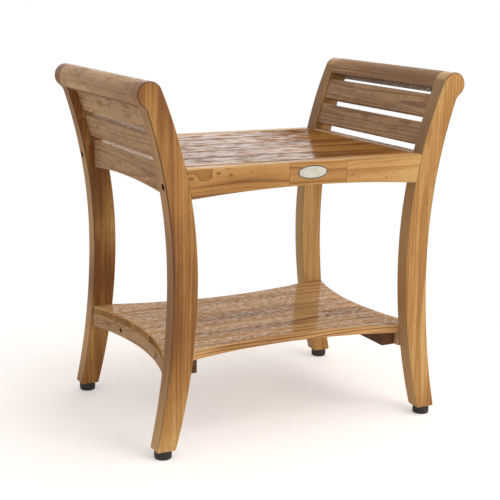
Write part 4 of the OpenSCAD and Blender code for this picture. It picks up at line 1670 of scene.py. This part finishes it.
@dataclass
class SeatFrame:
    """The four aprons with arched lower edges, and the five seat slats between them.

    slit is what parts the front apron's ends from the legs, and side_tone the side aprons' tone.
    """

    curve: LegCurve
    depth: float
    inside_y: float
    seat_z: float
    height: float = 0.050
    front_t: float = 0.022
    front_arch: float = 0.010
    setback: float = 0.0006
    slit: float = 0.0001
    side_x: float = 0.2218
    side_t: float = 0.020
    side_arch: float = 0.008
    side_tone: float = -0.35
    slat_t: float = 0.015
    slat_gap: float = 0.003
    slat_end_gap: float = 0.0035
    slat_corner: float = 0.003
    slat_count: int = 5

    def front_edges(self) -> list[Edge]:
        """The front apron: its ends follow the legs' inner edges, and an arc hollows its lower edge.

        Returns:
            Its edges, anticlockwise from the lower right corner.
        """
        c, top, low = self.curve, self.seat_z, self.seat_z - self.height
        end_top, end_low = (c.edge(z, False) - self.slit for z in (top, low))
        arch = complex(0, low + self.front_arch - arc_radius(end_low.real, self.front_arch))
        mirrored = complex(-c.inner_up.real, c.inner_up.imag)
        return [
            Edge(end_top, c.inner_up, hollow=True, ease=CRISP),
            Edge(-end_top.conjugate()),
            Edge(-end_low.conjugate(), mirrored, hollow=True, ease=CRISP),
            Edge(end_low, arch, hollow=True),
        ]

    def side_edges(self) -> list[Edge]:
        """A side apron, from leg to leg, with a hollowed lower edge.

        Returns:
            Its edges, anticlockwise from the lower rear corner.
        """
        y, top, low = self.inside_y, self.seat_z, self.seat_z - self.height
        arch = complex(0, low + self.side_arch - arc_radius(y, self.side_arch))
        return [
            Edge(complex(y, top), ease=CRISP),
            Edge(complex(-y, top)),
            Edge(complex(-y, low), ease=CRISP),
            Edge(complex(y, low), arch, hollow=True),
        ]

    def build(self, shop: Workshop) -> None:
        """Makes the aprons and the seat slats.

        Args:
            shop: Where they are made.
        """
        out, back = -self.depth / 2 + self.setback, -self.depth / 2 + self.front_t
        for (face, y_sign), finish in zip(FACES.items(), ("teak_apron_shown", "teak_apron")):
            Board(
                f"seat_apron_{face}", self.front_edges(), Plane.FRONT, out, back, Grain.SIDEWAYS, finish,
                y_sign=-y_sign,
            ).build(shop)
        for side, x_sign in SIDES.items():
            Board(
                f"seat_apron_{side}", self.side_edges(), Plane.SIDE, self.side_x, self.side_x + self.side_t,
                Grain.DEEP, "teak_arm", x_sign, tones=(self.side_tone,),
            ).build(shop)
        inside = self.depth / 2 - self.front_t
        width = (2 * inside - (self.slat_count + 1) * self.slat_gap) / self.slat_count
        size = (2 * (self.side_x - self.slat_end_gap), width)
        for index in range(self.slat_count):
            y = (index - (self.slat_count - 1) / 2) * (width + self.slat_gap)
            Board(
                f"seat_slat_{index + 1}", rounded_box(complex(0, y), size, self.slat_corner), Plane.PLAN,
                self.seat_z - self.slat_t, self.seat_z, Grain.FLAT, "teak_seat",
            ).build(shop)


@dataclass
class Shelf:
    """The shelf: five slats cut to a plan whose four sides draw in, on two stretchers.

    bow and side_bow are how far the sides draw in. The ends of the slats carry painted shade.
    """

    curve: LegCurve
    inside_y: float
    top: float = 0.169
    slat_t: float = 0.015
    gap: float = 0.003
    inset: float = 0.0005
    spare: float = 0.0005
    bow: float = 0.033
    side_bow: float = 0.030
    stretcher_h: float = 0.024
    stretcher_mid_t: float = 0.010
    stretcher_ease: float = 0.0016
    screw_y: float = 0.084
    screw_sink: float = 0.0075
    screw_hole_r: float = 0.0041
    slat_count: int = 5
    end_painted_shade: float = 0.6

    def __post_init__(self) -> None:
        """Works out the plan's corners and the centres of its arcs."""
        self.half_x = self.curve.edge(self.top, True).real - self.inset
        self.half_y = self.inside_y - self.spare
        self.front_r = arc_radius(self.curve.edge(self.top, False).real, self.bow)
        self.side_r = arc_radius(self.inside_y, self.side_bow)
        self.front_centre = complex(0, -(self.half_y - self.bow + self.front_r))
        self.side_centre = complex(self.half_x - self.side_bow + self.side_r, 0)

    def side_x(self, y: float) -> float:
        """The x of the plan's right side at a depth y."""
        return self.side_centre.real - math.sqrt(self.side_r**2 - y * y)

    def slat_edges(self, index: int) -> list[Edge]:
        """The plan of a slat: its ends are hollow arcs, and so are the shelf's front and back.

        Args:
            index: Its number, from 0 at the front.

        Returns:
            Its edges, anticlockwise from the front right corner.
        """
        width = (2 * self.half_y - (self.slat_count - 1) * self.gap) / self.slat_count
        y = (index - (self.slat_count - 1) / 2) * (width + self.gap)
        low, high = y - width / 2, y + width / 2
        x_low, x_high = self.side_x(low), self.side_x(high)
        x_bow = math.sqrt(self.front_r**2 - (self.half_y + self.front_centre.imag) ** 2)
        # the slats' ends carry painted shade
        ends = {"hollow": True, "painted_shade": self.end_painted_shade}
        front, back = [], []
        if index == 0:
            front = [Edge(complex(-x_bow, low)), Edge(complex(x_bow, low), self.front_centre, hollow=True)]
        if index == self.slat_count - 1:
            back = [Edge(complex(x_bow, high)), Edge(complex(-x_bow, high), -self.front_centre, hollow=True)]
        return [
            Edge(complex(x_high, high), self.side_centre, **ends),
            *back,
            Edge(complex(-x_high, high)),
            Edge(complex(-x_low, low), -self.side_centre, **ends),
            *front,
            Edge(complex(x_low, low)),
        ]

    def stretcher_edges(self) -> list[Edge]:
        """The plan of a stretcher: straight inside, and hollow outside with two screw holes.

        Returns:
            Its edges, anticlockwise from the front outer corner.
        """
        inner_x = self.half_x - self.side_bow - self.stretcher_mid_t
        y, outer_x = self.inside_y, self.side_x(self.inside_y)
        level = self.top - self.slat_t - self.stretcher_h / 2
        floor = self.side_x(self.screw_y) - self.screw_sink
        holes = tuple(Port(sign * self.screw_y, level, self.screw_hole_r, floor) for sign in (-1, 1))
        return [
            Edge(complex(outer_x, y), self.side_centre, hollow=True, ease=self.stretcher_ease, ports=holes),
            Edge(complex(inner_x, y), ease=CRISP),
            Edge(complex(inner_x, -y), ease=self.stretcher_ease),
            Edge(complex(outer_x, -y), ease=CRISP),
        ]

    def build(self, shop: Workshop) -> None:
        """Makes the shelf slats and the stretchers.

        Args:
            shop: Where they are made.
        """
        low = self.top - self.slat_t
        for index in range(self.slat_count):
            Board(
                f"shelf_slat_{index + 1}", self.slat_edges(index), Plane.PLAN, low, self.top, Grain.FLAT,
                "teak_shelf",
            ).build(shop)
        for side, x_sign in SIDES.items():
            Board(
                f"shelf_stretcher_{side}", self.stretcher_edges(), Plane.PLAN, low - self.stretcher_h, low,
                Grain.DEEP, "teak_stretcher", x_sign,
            ).build(shop)


@dataclass
class LevellingFeet:
    """The four rubber pads, each turned about its stud, with the space of the stud's flange inside.

    slip parts a pad from its leg. The sole is sunk by hollow inside the first of its two radii. The wall
    leans in by lean below and by shoulder above its widest place, at the share widest of its height. small
    is the radius of the corners out of sight, and pole that of the caps at the axis.
    """

    curve: LegCurve
    middle_y: float
    radius: float = 0.015
    slip: float = 0.0001
    sole: tuple[float, float] = (0.0085, 0.0095)
    hollow: float = 0.0006
    lean: float = 0.0006
    rim: float = 0.0026
    widest: float = 0.55
    bulge: float = 0.002
    shoulder: float = 0.0005
    top_rim: float = 0.0016
    flange_r: float = 0.009
    flange_low: float = 0.004
    flange_high: float = 0.007
    stud_r: float = 0.004
    small: float = 0.0002
    pole: float = 0.0005
    turns: int = 64

    def build(self, shop: Workshop) -> None:
        """Makes the pads.

        Args:
            shop: Where they are made.
        """
        top = self.curve.foot_h - self.slip
        profile, normal = profile_of([
            (self.pole, self.hollow, 0.0),
            (self.sole[0], self.hollow, self.small),
            (self.sole[1], 0.0, self.small),
            (self.radius - self.lean, 0.0, self.rim),
            (self.radius, top * self.widest, self.bulge),
            (self.radius - self.shoulder, top, self.top_rim),
            (self.stud_r, top, self.small),
            (self.stud_r, self.flange_high, self.small),
            (self.flange_r, self.flange_high, self.small),
            (self.flange_r, self.flange_low, self.small),
            (self.pole, self.flange_low, 0.0),
        ])
        for side, x_sign in SIDES.items():
            for face, y_sign in FACES.items():
                node = f"foot_pad_{face}_{side}"
                axis = (x_sign * self.curve.foot_x(), y_sign * self.middle_y)
                piece = make_piece(node + "_rubber", lathe_skin(profile, normal, self.turns, axis))
                settle(piece, shop.finishes, "foot_rubber", f"levelling_foot_{face}_{side}", node)


@dataclass
class OvalPlate:
    """The blank oval plate on the front apron: a pale face on a dark backing, held by two pins.

    apron_y is the apron's face and front_y what the pins reach. The backing stands out by back_share of the
    way between, and the face by face_share. All are sunk into the apron.
    """

    apron_y: float
    front_y: float
    middle: complex = 0.0057 + 0.4657j
    half: tuple[float, float] = (0.0284, 0.0114)
    rim: float = 0.0017
    back_share: float = 0.5
    face_share: float = 0.75
    back_ease: float = 0.0002
    face_ease: float = 0.0001
    pin_x: float = 0.0252
    pin_r: float = 0.0012
    pin_ease: float = 0.0002
    pole: float = 0.00002
    pin_turns: int = 24
    sunk: float = 0.0002
    turns: int = 96

    def oval(self, inset: float, ease: float) -> Outline:
        """An ellipse (a cos t, b sin t), drawn in along its normal (b cos t, a sin t).

        Args:
            inset: How far it is drawn in.
            ease: The radius of its arris.

        Returns:
            The outline.
        """
        t = np.arange(self.turns) * 2 * math.pi / self.turns
        wide, tall = self.half
        normal = tall * np.cos(t) + 1j * wide * np.sin(t)
        normal = normal / abs(normal)
        point = self.middle + wide * np.cos(t) + 1j * tall * np.sin(t) - inset * normal
        none = np.zeros(self.turns)
        return Outline(point, normal, ease + none, none, none, none, [])

    def build(self, shop: Workshop) -> None:
        """Makes the backing, the face and the pins, each a little prouder than the one before.

        Args:
            shop: Where they are made.
        """
        back, front = -self.apron_y - self.sunk, -self.front_y
        proud = front + self.apron_y
        backing, face = -self.apron_y + self.back_share * proud, -self.apron_y + self.face_share * proud
        skins = {
            "rim": board_skin(self.oval(0.0, self.back_ease), back, backing),
            "face": board_skin(self.oval(self.rim, self.face_ease), back, face),
        }
        corners = [
            (self.pole, back, 0.0), (self.pin_r, back, self.pole), (self.pin_r, front, self.pin_ease),
            (self.pole, front, 0.0),
        ]
        for side, sign in SIDES.items():
            axis = (self.middle.real + sign * self.pin_x, self.middle.imag)
            skins[f"pin_{side}"] = lathe_skin(*profile_of(corners), self.pin_turns, axis)
        for name, skin in skins.items():
            piece = make_piece(f"oval_plate_{name}", skin, Plane.FRONT.value, (1, -1, 1))
            settle(piece, shop.finishes, "plate_face" if name == "face" else "plate_rim")


@dataclass
class Fittings:
    """The nodes that show as they are, by finish: battens, cleats, dowels and all metal."""

    nodes: dict[str, tuple[str, ...]] = field(default_factory=lambda: {
        "steel": (
            "frame_bolts", "seat_slat_screws", "seat_batten_screws", "shelf_slat_screws", "stretcher_screws",
            *(f"foot_stud_{face}_{side}" for face in FACES for side in SIDES),
        ),
        "brass": ("foot_inserts", "barrel_nuts"),
        "dowel_wood": (
            "apron_dowels", "side_apron_dowels", "rail_dowels", "stretcher_dowels", "batten_dowels",
        ),
        "teak_under": (
            "seat_batten_left", "seat_batten_middle", "seat_batten_right", "shelf_cleat_left",
            "shelf_cleat_right",
        ),
    })

    def build(self, shop: Workshop) -> None:
        """Gives each node its finish.

        Args:
            shop: Where the finishes are.
        """
        for finish, names in self.nodes.items():
            for name in names:
                shop.finishes.dress(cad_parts[name], finish)
                LOG.info("%s: %s", name, finish)


# The studio


WHITE: Colour = (1.0, 1.0, 1.0)


@dataclass(frozen=True)
class Lamp:
    """A square soft lamp: its name, its place, its side and its power in watts."""

    name: str
    place: tuple[float, float, float]
    size: float
    watts: float

    def hang(self, aim: Vector) -> None:
        """Adds the lamp.

        Args:
            aim: The point that it faces.
        """
        data = bpy.data.lights.new(self.name, "AREA")
        data.size, data.energy = self.size, self.watts
        lamp = bpy.data.objects.new(self.name, data)
        lamp.location = self.place
        lamp.rotation_mode = "QUATERNION"
        lamp.rotation_quaternion = (Vector(self.place) - aim).to_track_quat("Z", "Y")
        bpy.context.scene.collection.objects.link(lamp)


@dataclass
class Studio:
    """A pale floor, a white surround, soft lamps and the camera at the photograph's viewing angle.

    The angles are in degrees. fill is the strength of the surround as light, and lift what the camera sees on
    the floor beyond its light. Between shadow_reach's two distances the floor turns white to the camera.
    """

    camera_place: tuple[float, float, float] = (-0.9697, -1.8720, 0.7750)
    yaw: float = 26.52
    pitch: float = 14.15
    roll: float = 0.72
    focal_px: float = 1177.6
    frame_px: float = 500.0
    middle_px: tuple[float, float] = (235.0, 275.0)
    sensor: float = 36.0
    fill: float = 0.68
    fill_colour: Colour = (1.0, 0.90, 0.79)
    floor_reach: float = 12.0
    floor_colour: Colour = (0.92, 0.86, 0.80)
    lift: float = 0.27
    lift_colour: Colour = (0.84, 1.0, 1.16)
    shadow_reach: tuple[float, float] = (0.3, 0.9)
    aim: tuple[float, float, float] = (0.0, 0.0, 0.3)
    lamps: tuple[Lamp, ...] = (
        Lamp("top", (0.5, -0.6, 2.6), 2.2, 26.0),
        Lamp("front", (1.1, -2.5, 1.6), 1.6, 26.0),
        Lamp("back", (1.9, 3.6, 1.5), 2.6, 24.0),
    )

    def camera(self) -> None:
        """Sets the camera: it looks along the yaw and the pitch, rolls, and shifts by the middle's offset."""
        yaw, pitch, roll = (math.radians(a) for a in (self.yaw, self.pitch, self.roll))
        ahead = np.array([math.sin(yaw) * math.cos(pitch), math.cos(yaw) * math.cos(pitch), -math.sin(pitch)])
        level = np.array([math.cos(yaw), -math.sin(yaw), 0.0])
        above = np.cross(level, ahead)
        right = math.cos(roll) * level + math.sin(roll) * above
        up = -math.sin(roll) * level + math.cos(roll) * above
        data = bpy.data.cameras.new("camera")
        data.sensor_width = self.sensor
        data.lens = self.focal_px / self.frame_px * self.sensor
        data.shift_x = (self.frame_px / 2 - self.middle_px[0]) / self.frame_px
        data.shift_y = (self.middle_px[1] - self.frame_px / 2) / self.frame_px
        camera = bpy.data.objects.new("camera", data)
        turned = np.eye(4)
        turned[:3, 0], turned[:3, 1], turned[:3, 2], turned[:3, 3] = right, up, -ahead, self.camera_place
        camera.matrix_world = Matrix(turned.tolist())
        bpy.context.scene.collection.objects.link(camera)
        bpy.context.scene.camera = camera

    def surround(self) -> None:
        """Lights the room: white to the camera and to reflections, and dimmer and warmer as light."""
        world = bpy.data.worlds.new("surround")
        bpy.context.scene.world = world
        world.use_nodes = True
        world.node_tree.nodes.clear()
        w = Wiring(world.node_tree)
        path = w.add("LightPath", {}).outputs
        seen = w.math("MAXIMUM", path["Is Camera Ray"], path["Is Glossy Ray"])
        seen = w.math("MAXIMUM", seen, path["Is Transmission Ray"])
        fill = w.add("Background", {"Color": self.fill_colour, "Strength": self.fill})
        white = w.add("Background", {"Color": WHITE, "Strength": 1.0})
        mixed = w.add("MixShader", {0: seen, 1: fill.outputs[0], 2: white.outputs[0]})
        w.add("OutputWorld", {"Surface": mixed.outputs[0]})

    def floor(self) -> None:
        """A wide pale floor that keeps the bench's shadow, and turns white to the camera away from it."""
        mesh = bpy.data.meshes.new("floor")
        reach = self.floor_reach
        corners = [(-reach, -reach, 0), (reach, -reach, 0), (reach, reach, 0), (-reach, reach, 0)]
        mesh.from_pydata(corners, [], [(0, 1, 2, 3)])
        floor = bpy.data.objects.new("floor", mesh)
        bpy.context.scene.collection.objects.link(floor)
        material, w = new_material("floor")
        diffuse = w.add("BsdfDiffuse", {"Color": self.floor_colour})
        white = w.add("Emission", {"Color": WHITE, "Strength": 1.0})
        seen = w.add("LightPath", {}).outputs["Is Camera Ray"]
        lift = w.add("Emission", {"Color": self.lift_colour, "Strength": w.times(seen, self.lift)})
        near = w.add("AddShader", {0: diffuse.outputs[0], 1: lift.outputs[0]})
        share = w.times(seen, w.remap(w.length(w.place()), *self.shadow_reach))
        mixed = w.add("MixShader", {0: share, 1: near.outputs[0], 2: white.outputs[0]})
        w.add("OutputMaterial", {"Surface": mixed.outputs[0]})
        mesh.materials.append(material)

    def build(self) -> None:
        """Sets up camera, surround, floor and lamps."""
        self.camera()
        self.surround()
        self.floor()
        for lamp in self.lamps:
            lamp.hang(Vector(self.aim))
        bpy.context.scene.view_settings.view_transform = "Standard"


def main() -> None:
    """Builds the studio and each sub-assembly of the bench in order."""
    logging.basicConfig(level=logging.INFO, format="%(name)s %(message)s")
    low, high = CAD_BOX
    depth = high.y - low.y
    curve = LegCurve(high.x - low.x, high.z)
    seat_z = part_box("seat_slat_1")[1].z
    Studio().build()
    shop = Workshop(seed=7)
    legs = Legs(curve, depth)
    inside_y = depth / 2 - legs.thickness
    seat = SeatFrame(curve, depth, inside_y, seat_z)
    for part in (
        legs, Arms(curve, inside_y, seat_z), seat, Shelf(curve, inside_y),
        LevellingFeet(curve, (depth - legs.thickness) / 2), OvalPlate(-depth / 2 + seat.setback, -depth / 2),
        Fittings(),
    ):
        part.build(shop)


if __name__ == "__main__":
    main()
